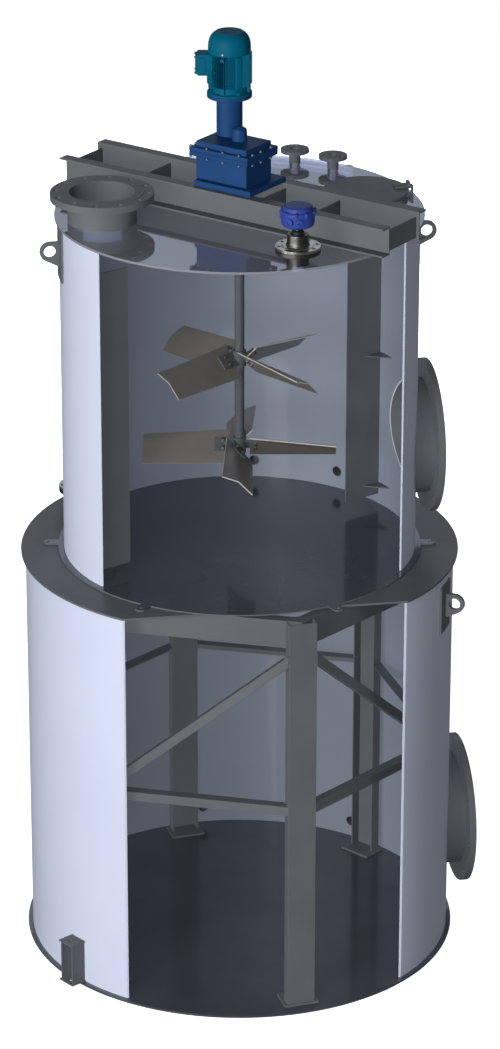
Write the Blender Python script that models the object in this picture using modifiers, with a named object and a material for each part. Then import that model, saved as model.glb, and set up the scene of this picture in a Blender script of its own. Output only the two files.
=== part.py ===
"""Vertical mixing tank on a storage tank, drawn as a cutaway, in metres with +Z up.

The tank axis is the world Z axis and the underside of the base plate is at z = 0.
The viewer of the photograph stands on the -Y side, where both shells are cut open.
"""
import math

import bmesh
import bpy
from mathutils import Matrix, Vector

GAP = 0.0003

# Shells, plates and their cut chords
BASE_RADIUS = 1.160
BASE_THICKNESS = 0.012
LOWER_RADIUS = 1.1344
UPPER_RADIUS = 0.930
WALL = 0.008
LOWER_TOP = 2.2100
RING_RADIUS = 1.158
RING_INNER_RADIUS = 0.800
RING_THICKNESS = 0.012
FLOOR_RADIUS = 0.962
FLOOR_THICKNESS = 0.008
ROOF_RADIUS = 0.953
ROOF_TOP = 4.0750
ROOF_THICKNESS = 0.012
LOWER_CUT_DISTANCE = 0.861
RING_CUT_DISTANCE = 0.889
LOWER_CUT_AZIMUTH = -81.15
UPPER_CUT_DISTANCE = 0.498
UPPER_CUT_AZIMUTH = -82.5

# Floor ears
EAR_COUNT = 6
EAR_CIRCLE = 1.010
EAR_RADIUS = 0.030
EAR_HOLE_RADIUS = 0.009

# Inner support frame, a hexagon of channels
FRAME_SIDES = 6
FRAME_AZIMUTH = -72.5
COLUMN_BACK = 1.083
COLUMN_DEPTH = 0.062
COLUMN_WIDTH = 0.150
COLUMN_WEB = 0.0065
COLUMN_FLANGE = 0.0075
FOOT_INNER = 0.957
FOOT_OUTER = 1.098
FOOT_WIDTH = 0.190
FOOT_THICKNESS = 0.012
BEAM_APOTHEM = 0.9176
BEAM_HEIGHT = 0.146
BEAM_FLANGE = 0.065
BEAM_FLANGE_THICKNESS = 0.010
RAIL_APOTHEM = 0.975
RAIL_TOP = 1.182
RAIL_DEPTH = 0.058
ANGLE_LEG = 0.050
ANGLE_THICKNESS = 0.005
BRACE_HALF_SPAN = 0.4730
BRACE_LEG_HALF_SPAN = 0.4430
BRACE_LOW = 1.1835
BRACE_HIGH = 1.9765
BRACE_HEIGHT = 0.062

# Anchor chairs
CHAIR_AZIMUTHS = (-139.0, 131.0, 41.0)
CHAIR_OUTER = 1.226
CHAIR_WIDTH = 0.108
CHAIR_TOP = 0.255
CHAIR_PLATE = 0.010
CHAIR_SIDE = 0.008

# Manholes and lifting lugs
MANHOLE_AZIMUTH = 10.0
MANHOLE_NECK_RADIUS = 0.305
MANHOLE_NECK_WALL = 0.010
MANHOLE_FLANGE_RADIUS = 0.4065
MANHOLE_FLANGE_THICKNESS = 0.035
MANHOLE_BOLT_CIRCLE = 0.3747
MANHOLE_BOLTS = 20
MANHOLE_BOLT_RADIUS = 0.0155
UPPER_MANHOLE_Z = 2.774
UPPER_MANHOLE_FACE = 1.022
LOWER_MANHOLE_Z = 0.559
LOWER_MANHOLE_FACE = 1.233
LUG_EYE_RADIUS = 0.031
LUG_OUTER_RADIUS = 0.053
LUG_THICKNESS = 0.020
LUG_PAD_THICKNESS = 0.010
LUG_PAD_WIDTH = 0.160
UPPER_LUG_Z = 3.913
UPPER_LUG_AZIMUTHS = (10.0, 190.0)
UPPER_LUG_EYE = 0.986
UPPER_PAD = (3.762, 4.060)
LOWER_LUG_Z = 2.037
LOWER_LUG_AZIMUTHS = (-18.5, 161.5)
LOWER_LUG_EYE = 1.190
LOWER_PAD = (1.885, 2.145)

# Small nozzles, on 60.3 mm pipe with 152.4 mm flanges
PIPE_RADIUS = 0.03015
PIPE_WALL = 0.0039
SMALL_FLANGE_RADIUS = 0.0762
SMALL_FLANGE_THICKNESS = 0.019
SMALL_BOLT_CIRCLE = 0.06035
SMALL_BOLTS = 4
SMALL_BOLT_RADIUS = 0.0095
SMALL_STANDOFF = 0.150
DRAIN_Z = 2.326
DRAIN_AZIMUTHS = (85.0, 54.8)
OVERFLOW_Z = 3.955
OVERFLOW_AZIMUTH = 57.0
LOWER_NOZZLE_Z = 0.103
LOWER_NOZZLE_AZIMUTHS = (100.6, 55.8)
VENT_PLACES = ((0.294, 0.816), (0.494, 0.708))
VENT_TOP = 4.150

# Roof inlet, on 355.6 mm pipe
INLET_PLACE = (-0.700, -0.160)
INLET_PIPE_RADIUS = 0.1778
INLET_PIPE_WALL = 0.0095
INLET_FLANGE_RADIUS = 0.2667
INLET_FLANGE_THICKNESS = 0.036
INLET_TOP = 4.232
INLET_BOLT_CIRCLE = 0.238
INLET_BOLTS = 12
INLET_BOLT_RADIUS = 0.0143
INLET_TURN = 9.0

# Inspection hatch on the roof
HATCH_PLACE = (0.656, 0.262)
HATCH_NECK_RADIUS = 0.205
HATCH_NECK_WALL = 0.006
HATCH_NECK_TOP = 4.097
LID_RADIUS = 0.220
LID_THICKNESS = 0.008
HINGE_AZIMUTH = 13.5
HINGE_REACH = 0.236
HINGE_Z = 4.1150
HINGE_PIN_RADIUS = 0.005
HINGE_BARREL_RADIUS = 0.010
HINGE_BORE_RADIUS = 0.0056
HINGE_STRAP_SPREAD = 0.025
HINGE_STRAP_WIDTH = 0.012
HINGE_POST_SPREAD = 0.048

# Level instruments
LEVEL_ROOF_PLACE = (0.289, -0.820)
LEVEL_RING_RADIUS = 1.050
LEVEL_RING_AZIMUTH = 145.5
LEVEL_PIPE_RADIUS = 0.0572
LEVEL_PIPE_WALL = 0.006
LEVEL_FLANGE_RADIUS = 0.1143
LEVEL_FLANGE_LOW = 0.060
LEVEL_FLANGE_MIDDLE = 0.078
LEVEL_FLANGE_HIGH = 0.096
LEVEL_COLLAR_TOP = 0.157
LEVEL_NECK_RADIUS = 0.020
LEVEL_HEAD_LOW = 0.198
LEVEL_HEAD_TOP = 0.306
LEVEL_HEAD_RADIUS = 0.096

# Bridge over the roof and the geared motor on it
BRIDGE_AZIMUTH = -35.2
BRIDGE_LENGTH = 2.020
BRIDGE_HEIGHT = 0.150
BRIDGE_WEB_FACE = 0.140
BRIDGE_WEB = 0.0065
BRIDGE_FLANGE = 0.065
BRIDGE_FLANGE_THICKNESS = 0.009
CROSS_PLATES = (-0.980, -0.535, -0.190, 0.195, 0.530, 0.990)
CROSS_LOW = 0.012
CROSS_HIGH = 0.122
CROSS_THICKNESS = 0.008
GEAR_BASE = ((-0.165, 0.185), (-0.151, 0.170), 0.030)
GEAR_BOX = ((-0.178, 0.135), (-0.090, 0.132), 0.123)
GEAR_FLANGE = ((-0.206, 0.158), (-0.118, 0.156), 0.023)
GEAR_COVER_HEIGHT = 0.030
BOSS_RADIUS = 0.039
BOSS_HEIGHT = 0.074
LANTERN_PLACE = (-0.051, 0.106)
LANTERN_RADIUS = 0.067
LANTERN_TOP = 4.674
LANTERN_FLANGE_RADIUS = 0.1155
LANTERN_FLANGE_THICKNESS = 0.019
MOTOR_PROFILE = (
    (0.000, 5.000), (0.070, 5.000), (0.086, 4.990), (0.099, 4.970), (0.107, 4.937), (0.109, 4.898),
    (0.1155, 4.893), (0.1155, 4.732), (0.100, 4.720), (0.098, 4.704), (0.1155, 4.690),
    (0.1155, LANTERN_TOP + GAP), (0.000, LANTERN_TOP + GAP),
)
TERMINAL_LOW = (-0.175, -0.047, 4.775)
TERMINAL_HIGH = (-0.095, 0.047, 4.890)

# Agitator
SHAFT_RADIUS = 0.0255
SHAFT_LOW = 2.738
SHAFT_BORE_DEPTH = 0.020
SHAFT_BORE_RADIUS = 0.0263
SHAFT_ROOF_HOLE = 0.060
COUPLING_RADIUS = 0.054
COUPLING_LOW = 3.772
COUPLING_TOP = 3.805
HUB_RADIUS = 0.035
IMPELLER_LEVELS = (("upper", 3.259, 45.0), ("lower", 2.773, 0.0))
HUB_RISE = 0.013
IMPELLER_HALF_HEIGHT = 0.042
BLADE_COUNT = 4
BLADE_TIP = 0.508
BLADE_ROOT = 0.054
BLADE_WIDTH = 0.192
BLADE_THICKNESS = 0.006
BLADE_PITCH = 46.0
BLADE_FOLD = 28.0
BLADE_FOLD_SHARE = 0.47
LUG_PLATE_ROOT = 0.028
LUG_PLATE_TIP = 0.132
LUG_PLATE_WIDTH = 0.080
LUG_PLATE_SHIFT = -0.010
LUG_PLATE_THICKNESS = 0.010

# Baffles in the upper tank
BAFFLE_AZIMUTHS = (("right", 35.5), ("left", 215.5))
BAFFLE_INNER = 0.700
BAFFLE_THICKNESS = 0.008
BAFFLE_LOW = 2.287
BAFFLE_HIGH = 3.912
GUSSET_LEVELS = (2.353, 3.103)
GUSSET_REACH = 0.108
GUSSET_SPREAD = 0.135
GUSSET_THICKNESS = 0.006

SHELL_SIDES = 128
NECK_SIDES = 48
PIPE_SIDES = 24
HOLE_SIDES = 10


def clear_scene():
    for old in list(bpy.data.objects):
        bpy.data.objects.remove(old, do_unlink=True)


def new_collection(name):
    collection = bpy.data.collections.new(name)
    bpy.context.scene.collection.children.link(collection)
    return collection


def new_material(name, colour, metallic, roughness, alpha=1.0):
    material = bpy.data.materials.new(name)
    material.use_nodes = True
    shader = material.node_tree.nodes["Principled BSDF"]
    shader.inputs["Base Color"].default_value = (*colour, 1.0)
    shader.inputs["Metallic"].default_value = metallic
    shader.inputs["Roughness"].default_value = roughness
    shader.inputs["Alpha"].default_value = alpha
    return material


clear_scene()
PARTS = new_collection("mixing_tank")
CUTTERS = new_collection("cutters")

SHELL_PAINT = new_material("shell_paint", (0.62, 0.66, 0.78), 0.0, 0.35)
STEEL_PAINT = new_material("steel_paint", (0.13, 0.14, 0.145), 0.0, 0.40)
DARK_PAINT = new_material("dark_paint", (0.07, 0.08, 0.08), 0.0, 0.45)
FLOOR_PAINT = new_material("floor_paint", (0.06, 0.07, 0.08), 0.0, 0.30)
ROOF_CLEAR = new_material("clear_roof", (0.60, 0.62, 0.78), 0.0, 0.08, 0.35)
GEAR_BLUE = new_material("gear_blue", (0.01, 0.07, 0.22), 0.0, 0.35)
MOTOR_BLUE = new_material("motor_blue", (0.00, 0.14, 0.24), 0.0, 0.40)
HEAD_BLUE = new_material("head_blue", (0.03, 0.05, 0.42), 0.0, 0.45)
STAINLESS = new_material("stainless", (0.55, 0.54, 0.50), 1.0, 0.30)
BLADE_STEEL = new_material("blade_steel", (0.22, 0.22, 0.21), 0.6, 0.40)


def polar(radius, azimuth, z=0.0):
    angle = math.radians(azimuth)
    return Vector((radius * math.cos(angle), radius * math.sin(angle), z))


def link_mesh(name, mesh_source, material, collection=None):
    """Turn a bmesh into an object in the parts or in the cutters."""
    mesh = bpy.data.meshes.new(name)
    mesh_source.to_mesh(mesh)
    mesh_source.free()
    item = bpy.data.objects.new(name, mesh)
    (collection or PARTS).objects.link(item)
    if material:
        mesh.materials.append(material)
    if collection is CUTTERS:
        item.hide_render = True
        item.display_type = "WIRE"
    return item


def cylinder(name, radius, low, high, sides, material=None, collection=None, top_radius=None):
    """A cylinder on the object's own Z axis."""
    shape = bmesh.new()
    centre = Matrix.Translation((0.0, 0.0, (low + high) / 2.0))
    bmesh.ops.create_cone(
        shape, cap_ends=True, segments=sides, radius1=radius,
        radius2=radius if top_radius is None else top_radius, depth=high - low, matrix=centre,
    )
    return link_mesh(name, shape, material, collection)


def box(name, low, high, material=None, collection=None):
    """An upright box between two corners, in the object's own axes."""
    low, high = Vector(low), Vector(high)
    shape = bmesh.new()
    size = Matrix.Diagonal((*(high - low), 1.0))
    bmesh.ops.create_cube(shape, size=1.0, matrix=Matrix.Translation((low + high) / 2.0) @ size)
    return link_mesh(name, shape, material, collection)


def plate(name, outline, thickness, material=None, collection=None):
    """A flat outline in the object's own XY plane, centred on it in thickness."""
    curve = bpy.data.curves.new(name, "CURVE")
    curve.dimensions = "2D"
    curve.fill_mode = "BOTH"
    curve.extrude = thickness / 2.0
    spline = curve.splines.new("POLY")
    spline.points.add(len(outline) - 1)
    for point, (x, y) in zip(spline.points, outline):
        point.co = (x, y, 0.0, 1.0)
    spline.use_cyclic_u = True
    drawing = bpy.data.objects.new(name + "_outline", curve)
    bpy.context.scene.collection.objects.link(drawing)
    bpy.context.view_layer.update()
    mesh = bpy.data.meshes.new_from_object(drawing.evaluated_get(bpy.context.evaluated_depsgraph_get()))
    bpy.data.objects.remove(drawing, do_unlink=True)
    shape = bmesh.new()
    shape.from_mesh(mesh)
    bpy.data.meshes.remove(mesh)
    bmesh.ops.remove_doubles(shape, verts=shape.verts, dist=0.00001)
    bmesh.ops.recalc_face_normals(shape, faces=shape.faces)
    return link_mesh(name, shape, material, collection)


def turned(name, profile, sides, material=None, collection=None, closed=False):
    """A profile of (radius, height) points, from top to bottom on its outer side, turned about Z."""
    shape = bmesh.new()
    corners = [shape.verts.new((radius, 0.0, height)) for radius, height in profile]
    for first, second in zip(corners, corners[1:]):
        shape.edges.new((first, second))
    if closed:
        shape.edges.new((corners[-1], corners[0]))
    item = link_mesh(name, shape, material, collection)
    screw = item.modifiers.new("turn", "SCREW")
    screw.steps = sides
    screw.render_steps = sides
    screw.use_merge_vertices = True
    screw.merge_threshold = 0.00001
    return item


def combine(item, others, operation):
    for other in others:
        boolean = item.modifiers.new(operation.lower(), "BOOLEAN")
        boolean.operation = operation
        boolean.solver = "EXACT"
        boolean.object = other
    return item


def cut(item, *others):
    return combine(item, others, "DIFFERENCE")


def join(item, *others):
    return combine(item, others, "UNION")


def stand(item, azimuth=0.0, radius=0.0, z=0.0):
    """Put an object at a radius and azimuth, with its own X axis pointing outwards."""
    item.location = polar(radius, azimuth, z)
    item.rotation_euler = (0.0, 0.0, math.radians(azimuth))
    return item


def lay_outwards(item, azimuth, z, radius=0.0):
    """Point an object's own Z axis outwards along an azimuth."""
    turn = Matrix.Rotation(math.radians(azimuth), 4, "Z") @ Matrix.Rotation(math.radians(90.0), 4, "Y")
    item.matrix_world = Matrix.Translation(polar(radius, azimuth, z)) @ turn
    return item


def bolt_holes(name, circle, count, radius, low, high, turn=0.0):
    """One cutter with all the bolt holes of a flange."""
    shape = bmesh.new()
    for index in range(count):
        centre = polar(circle, (index + 0.5) * 360.0 / count + turn, (low + high) / 2.0)
        bmesh.ops.create_cone(
            shape, cap_ends=True, segments=HOLE_SIDES, radius1=radius, radius2=radius,
            depth=high - low, matrix=Matrix.Translation(centre),
        )
    return link_mesh(name, shape, None, CUTTERS)


def front_cutter(name, azimuth, distance, low, high):
    """The block that takes away everything beyond a chord of the tank."""
    return stand(box(name, (distance, -3.0, low), (distance + 3.0, 3.0, high), None, CUTTERS), azimuth)


def flanged_nozzle(name, azimuth, z, face, shell_radius, pipe, wall, flange, thickness, bolts, sides):
    """A flanged pipe through a shell, trimmed flush with the shell's inside."""
    bolt_circle, bolt_count, bolt_radius = bolts
    start = shell_radius - 0.20
    nozzle = cylinder(name, pipe, start, face, sides, STEEL_PAINT)
    rim = cylinder(name + "_flange", flange, face - thickness, face, NECK_SIDES, None, CUTTERS)
    bore = cylinder(name + "_bore", pipe - wall, start - 0.05, face + 0.05, sides, None, CUTTERS)
    holes = bolt_holes(
        name + "_holes", bolt_circle, bolt_count, bolt_radius, face - thickness - 0.02, face + 0.02)
    below, above = z - pipe - 0.05, z + pipe + 0.05
    tank_bore = cylinder(name + "_tank_bore", shell_radius - WALL, below, above, SHELL_SIDES, None, CUTTERS)
    for item in (nozzle, rim, bore, holes):
        lay_outwards(item, azimuth, z)
    join(nozzle, rim)
    return cut(nozzle, bore, holes, tank_bore)


def small_nozzle(name, azimuth, z, shell_radius):
    return flanged_nozzle(
        name, azimuth, z, shell_radius + SMALL_STANDOFF, shell_radius, PIPE_RADIUS, PIPE_WALL,
        SMALL_FLANGE_RADIUS, SMALL_FLANGE_THICKNESS, SMALL_BOLTING, PIPE_SIDES)


def shell_hole(name, azimuth, z, pipe, shell_radius, sides):
    hole = cylinder(name, pipe + GAP, shell_radius - 0.25, shell_radius + 0.10, sides, None, CUTTERS)
    return lay_outwards(hole, azimuth, z)


def roof_nozzle(name, place, foot, top, pipe, wall, flange, thickness, bolts, sides, turn=0.0):
    """A flanged pipe that stands on a flat plate."""
    bolt_circle, bolt_count, bolt_radius = bolts
    profile = (
        (pipe - wall, top), (flange, top), (flange, top - thickness), (pipe, top - thickness),
        (pipe, foot), (pipe - wall, foot),
    )
    nozzle = turned(name, profile, sides, STEEL_PAINT, closed=True)
    holes = bolt_holes(
        name + "_holes", bolt_circle, bolt_count, bolt_radius, top - thickness - 0.02, top + 0.02, turn)
    nozzle.location = holes.location = (*place, 0.0)
    return cut(nozzle, holes)


def plate_hole(name, place, radius, low, high, sides):
    hole = cylinder(name, radius, low, high, sides, None, CUTTERS)
    hole.location = (*place, 0.0)
    return hole


MANHOLE_BOLTING = (MANHOLE_BOLT_CIRCLE, MANHOLE_BOLTS, MANHOLE_BOLT_RADIUS)
SMALL_BOLTING = (SMALL_BOLT_CIRCLE, SMALL_BOLTS, SMALL_BOLT_RADIUS)
RING_TOP = LOWER_TOP + RING_THICKNESS
FLOOR_LOW = RING_TOP + GAP
FLOOR_TOP = FLOOR_LOW + FLOOR_THICKNESS
ROOF_LOW = ROOF_TOP - ROOF_THICKNESS


def base_plate():
    cylinder("base_plate", BASE_RADIUS, 0.0, BASE_THICKNESS, SHELL_SIDES, FLOOR_PAINT)


def shell(name, radius, low, high, cutter, holes):
    """A rolled shell, cut open on the viewer's side."""
    wall = cylinder(name, radius, low, high, SHELL_SIDES, SHELL_PAINT)
    bore = cylinder(name + "_inside", radius - WALL, low - 0.1, high + 0.1, SHELL_SIDES, None, CUTTERS)
    return cut(wall, bore, cutter, *holes)


def lower_tank():
    low = BASE_THICKNESS + GAP
    high = LOWER_TOP - GAP
    cutter = front_cutter("lower_cut", LOWER_CUT_AZIMUTH, LOWER_CUT_DISTANCE, -0.1, LOWER_TOP + 0.1)
    holes = [shell_hole("lower_manhole_hole", MANHOLE_AZIMUTH, LOWER_MANHOLE_Z, MANHOLE_NECK_RADIUS,
                        LOWER_RADIUS, NECK_SIDES)]
    for index, azimuth in enumerate(LOWER_NOZZLE_AZIMUTHS, 1):
        name = f"lower_nozzle_{index}"
        holes.append(shell_hole(
            name + "_hole", azimuth, LOWER_NOZZLE_Z, PIPE_RADIUS, LOWER_RADIUS, PIPE_SIDES))
        small_nozzle(name, azimuth, LOWER_NOZZLE_Z, LOWER_RADIUS)
    shell("lower_shell", LOWER_RADIUS, low, high, cutter, holes)
    flanged_nozzle(
        "lower_manhole", MANHOLE_AZIMUTH, LOWER_MANHOLE_Z, LOWER_MANHOLE_FACE, LOWER_RADIUS,
        MANHOLE_NECK_RADIUS, MANHOLE_NECK_WALL, MANHOLE_FLANGE_RADIUS, MANHOLE_FLANGE_THICKNESS,
        MANHOLE_BOLTING, NECK_SIDES)


def cover_ring():
    ring = cylinder("cover_ring", RING_RADIUS, LOWER_TOP, RING_TOP, SHELL_SIDES, STEEL_PAINT)
    below, above = LOWER_TOP - 0.1, RING_TOP + 0.1
    bore = cylinder("cover_ring_bore", RING_INNER_RADIUS, below, above, SHELL_SIDES, None, CUTTERS)
    cutter = front_cutter("ring_cut", LOWER_CUT_AZIMUTH, RING_CUT_DISTANCE, below, above)
    place = polar(LEVEL_RING_RADIUS, LEVEL_RING_AZIMUTH)
    hole = plate_hole("ring_level_hole", (place.x, place.y), LEVEL_PIPE_RADIUS - LEVEL_PIPE_WALL,
                      below, above, PIPE_SIDES)
    cut(ring, bore, cutter, hole)


def channel_outline(back, depth, half_width, web, flange):
    """A channel section with its web at the back, on the outer side, and its flanges pointing inwards."""
    front = back - depth
    inside = half_width - flange
    half = ((back, half_width), (front, half_width), (front, inside), (back - web, inside))
    return half + tuple((x, -y) for x, y in reversed(half))


def frame_columns():
    foot_low = BASE_THICKNESS + GAP
    foot_high = foot_low + FOOT_THICKNESS
    top = LOWER_TOP - GAP
    outline = channel_outline(COLUMN_BACK, COLUMN_DEPTH, COLUMN_WIDTH / 2.0, COLUMN_WEB, COLUMN_FLANGE)
    low = foot_high - FOOT_THICKNESS / 2.0
    for index in range(FRAME_SIDES):
        azimuth = FRAME_AZIMUTH + index * 360.0 / FRAME_SIDES
        name = f"frame_column_{index + 1}"
        column = plate(name, outline, top - low, STEEL_PAINT)
        foot = box(name + "_foot", (FOOT_INNER, -FOOT_WIDTH / 2.0, foot_low),
                   (FOOT_OUTER, FOOT_WIDTH / 2.0, foot_high), None, CUTTERS)
        stand(column, azimuth, 0.0, (top + low) / 2.0)
        stand(foot, azimuth)
        join(column, foot)


def hexagon(name, section, material):
    """A section of (apothem, height) points carried round the hexagonal frame with mitred corners."""
    corner = math.cos(math.pi / FRAME_SIDES)
    ring = turned(name, [(x / corner, z) for x, z in section], FRAME_SIDES, material, closed=True)
    ring.rotation_euler = (0.0, 0.0, math.radians(FRAME_AZIMUTH))
    return ring


def frame_beams():
    """One ring of channels under the cover ring, with its corners inside the columns."""
    top = LOWER_TOP - GAP
    low = top - BEAM_HEIGHT
    inner = BEAM_APOTHEM - BEAM_FLANGE
    web = BEAM_APOTHEM - COLUMN_WEB
    hexagon("frame_top_beams", (
        (BEAM_APOTHEM, top), (BEAM_APOTHEM, low), (inner, low), (inner, low + BEAM_FLANGE_THICKNESS),
        (web, low + BEAM_FLANGE_THICKNESS), (web, top - BEAM_FLANGE_THICKNESS),
        (inner, top - BEAM_FLANGE_THICKNESS), (inner, top),
    ), STEEL_PAINT)


def rail_end(apothem):
    """Half the length of a rail at a distance from the axis, up to the side of a column."""
    half_corner = math.pi / FRAME_SIDES
    side = COLUMN_WIDTH / 2.0 + GAP
    return (apothem * math.sin(half_corner) - side) / math.cos(half_corner)


def rail_outline(outer, inner):
    half = ((outer, rail_end(outer)), (inner, rail_end(inner)))
    return half + tuple((x, -y) for x, y in reversed(half))


def frame_rails():
    """Angle bars halfway up, each between two columns."""
    leg = rail_outline(RAIL_APOTHEM, RAIL_APOTHEM - ANGLE_THICKNESS)
    top = rail_outline(RAIL_APOTHEM, RAIL_APOTHEM - RAIL_DEPTH)
    for index in range(FRAME_SIDES):
        azimuth = FRAME_AZIMUTH + (index + 0.5) * 360.0 / FRAME_SIDES
        name = f"frame_rail_{index + 1}"
        rail = plate(name, leg, ANGLE_LEG, STEEL_PAINT)
        flange = plate(name + "_flange", top, ANGLE_THICKNESS, None, CUTTERS)
        stand(rail, azimuth, 0.0, RAIL_TOP - ANGLE_LEG / 2.0)
        stand(flange, azimuth, 0.0, RAIL_TOP - ANGLE_THICKNESS / 2.0)
        join(rail, flange)


def upright(azimuth):
    """Stand a flat outline up, with its X axis along an azimuth and its Y axis vertical."""
    return Matrix.Rotation(math.radians(azimuth), 4, "Z") @ Matrix.Rotation(math.radians(90.0), 4, "X")


def brace_strip(side, half_span, low, high):
    """A sloping strip between two heights above the brace's lower edge."""
    slope = (BRACE_HIGH - BRACE_LOW) / (2.0 * BRACE_HALF_SPAN)
    middle = (BRACE_HIGH + BRACE_LOW) / 2.0
    near, far = -half_span * side, half_span * side
    rise = slope * half_span
    return ((near, middle - rise + low), (far, middle + rise + low), (far, middle + rise + high),
            (near, middle - rise + high))


def frame_braces():
    """Two angle braces that run down from the front column to its neighbours."""
    lip = ANGLE_THICKNESS * 1.3
    for name, azimuth, side in (("left", FRAME_AZIMUTH - 30.0, 1.0), ("right", FRAME_AZIMUTH + 30.0, -1.0)):
        leg_low = BRACE_HEIGHT - lip if side > 0.0 else 0.0
        face_strip = brace_strip(side, BRACE_HALF_SPAN, 0.0, BRACE_HEIGHT)
        leg_strip = brace_strip(side, BRACE_LEG_HALF_SPAN, leg_low, leg_low + lip)
        brace = plate(f"frame_brace_{name}", face_strip, ANGLE_THICKNESS, STEEL_PAINT)
        leg = plate(f"frame_brace_{name}_leg", leg_strip, ANGLE_LEG, None, CUTTERS)
        for item, depth in ((brace, ANGLE_THICKNESS), (leg, ANGLE_LEG)):
            place = Matrix.Translation(polar(RAIL_APOTHEM - depth / 2.0, azimuth))
            item.matrix_world = place @ upright(azimuth + 90.0)
        join(brace, leg)


def anchor_chairs():
    low = BASE_THICKNESS + GAP
    half = CHAIR_WIDTH / 2.0
    inner = LOWER_RADIUS - 0.02
    for index, azimuth in enumerate(CHAIR_AZIMUTHS, 1):
        name = f"anchor_chair_{index}"
        top_low = CHAIR_TOP - CHAIR_PLATE
        low_top = low + CHAIR_PLATE
        chair = box(name, (inner, -half, top_low), (CHAIR_OUTER, half, CHAIR_TOP), STEEL_PAINT)
        bottom = box(name + "_bottom", (inner, -half, low), (CHAIR_OUTER, half, low_top), None, CUTTERS)
        sides = [
            box(f"{name}_side_{side}", (inner, edge - CHAIR_SIDE / 2.0, low + CHAIR_PLATE / 2.0),
                (CHAIR_OUTER - 0.008, edge + CHAIR_SIDE / 2.0, CHAIR_TOP - CHAIR_PLATE / 2.0), None, CUTTERS)
            for side, edge in enumerate((0.010 - half, half - 0.010))
        ]
        above = CHAIR_TOP + 0.1
        tank = cylinder(name + "_tank", LOWER_RADIUS + GAP, -0.1, above, SHELL_SIDES, None, CUTTERS)
        bolt = cylinder(name + "_bolt", 0.011, -0.1, CHAIR_TOP + 0.1, HOLE_SIDES, None, CUTTERS)
        bolt.location = polar(LOWER_RADIUS + 0.058, azimuth)
        for item in (chair, bottom, *sides):
            stand(item, azimuth)
        join(chair, bottom, *sides)
        cut(chair, tank, bolt)


def lug_outline(reach, below, points=20):
    """The eye of a lifting lug with its straight back and its slanting lower edge."""
    corner = math.atan2(-below, -reach)
    end = corner + math.acos(LUG_OUTER_RADIUS / math.hypot(reach, below))
    arc = []
    for index in range(points + 1):
        angle = math.pi / 2.0 + (end - math.pi / 2.0) * index / points
        arc.append((LUG_OUTER_RADIUS * math.cos(angle), LUG_OUTER_RADIUS * math.sin(angle)))
    return [(-reach, -below), (-reach, LUG_OUTER_RADIUS)] + arc


def lifting_lug(name, azimuth, z, eye, shell_radius, pad_span):
    reach = eye - shell_radius - LUG_PAD_THICKNESS / 2.0
    lug = plate(name, lug_outline(reach, 0.085), LUG_THICKNESS, STEEL_PAINT)
    hole = cylinder(name + "_eye", LUG_EYE_RADIUS, -0.1, 0.1, PIPE_SIDES, None, CUTTERS)
    lug.matrix_world = hole.matrix_world = Matrix.Translation(polar(eye, azimuth, z)) @ upright(azimuth)
    pad = box(name + "_pad", (shell_radius - 0.05, -LUG_PAD_WIDTH / 2.0, pad_span[0]),
              (shell_radius + 0.1, LUG_PAD_WIDTH / 2.0, pad_span[1]), None, CUTTERS)
    outside = shell_radius + LUG_PAD_THICKNESS
    skin = cylinder(name + "_skin", outside, z - 0.3, z + 0.3, SHELL_SIDES, None, CUTTERS)
    tank = cylinder(name + "_tank", shell_radius + GAP, z - 0.4, z + 0.4, SHELL_SIDES, None, CUTTERS)
    stand(pad, azimuth)
    combine(pad, [skin], "INTERSECT")
    join(lug, pad)
    cut(lug, tank, hole)


def lifting_lugs():
    for index, azimuth in enumerate(LOWER_LUG_AZIMUTHS, 1):
        lifting_lug(f"lower_lug_{index}", azimuth, LOWER_LUG_Z, LOWER_LUG_EYE, LOWER_RADIUS, LOWER_PAD)
    for index, azimuth in enumerate(UPPER_LUG_AZIMUTHS, 1):
        lifting_lug(f"upper_lug_{index}", azimuth, UPPER_LUG_Z, UPPER_LUG_EYE, UPPER_RADIUS, UPPER_PAD)


def upper_floor():
    floor = cylinder("upper_floor", FLOOR_RADIUS, FLOOR_LOW, FLOOR_TOP, SHELL_SIDES, FLOOR_PAINT)
    ears, holes = [], []
    for index in range(EAR_COUNT):
        azimuth = index * 360.0 / EAR_COUNT
        tip = cylinder(f"ear_{index}", EAR_RADIUS, FLOOR_LOW, FLOOR_TOP, PIPE_SIDES, None, CUTTERS)
        neck = box(f"ear_neck_{index}", (FLOOR_RADIUS - 0.05, -EAR_RADIUS, FLOOR_LOW),
                   (EAR_CIRCLE, EAR_RADIUS, FLOOR_TOP), None, CUTTERS)
        hole = cylinder(f"ear_hole_{index}", EAR_HOLE_RADIUS, 2.0, 2.5, HOLE_SIDES, None, CUTTERS)
        stand(tip, azimuth, EAR_CIRCLE)
        stand(neck, azimuth)
        stand(hole, azimuth, EAR_CIRCLE)
        ears += [neck, tip]
        holes.append(hole)
    join(floor, *ears)
    cut(floor, *holes)


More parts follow.
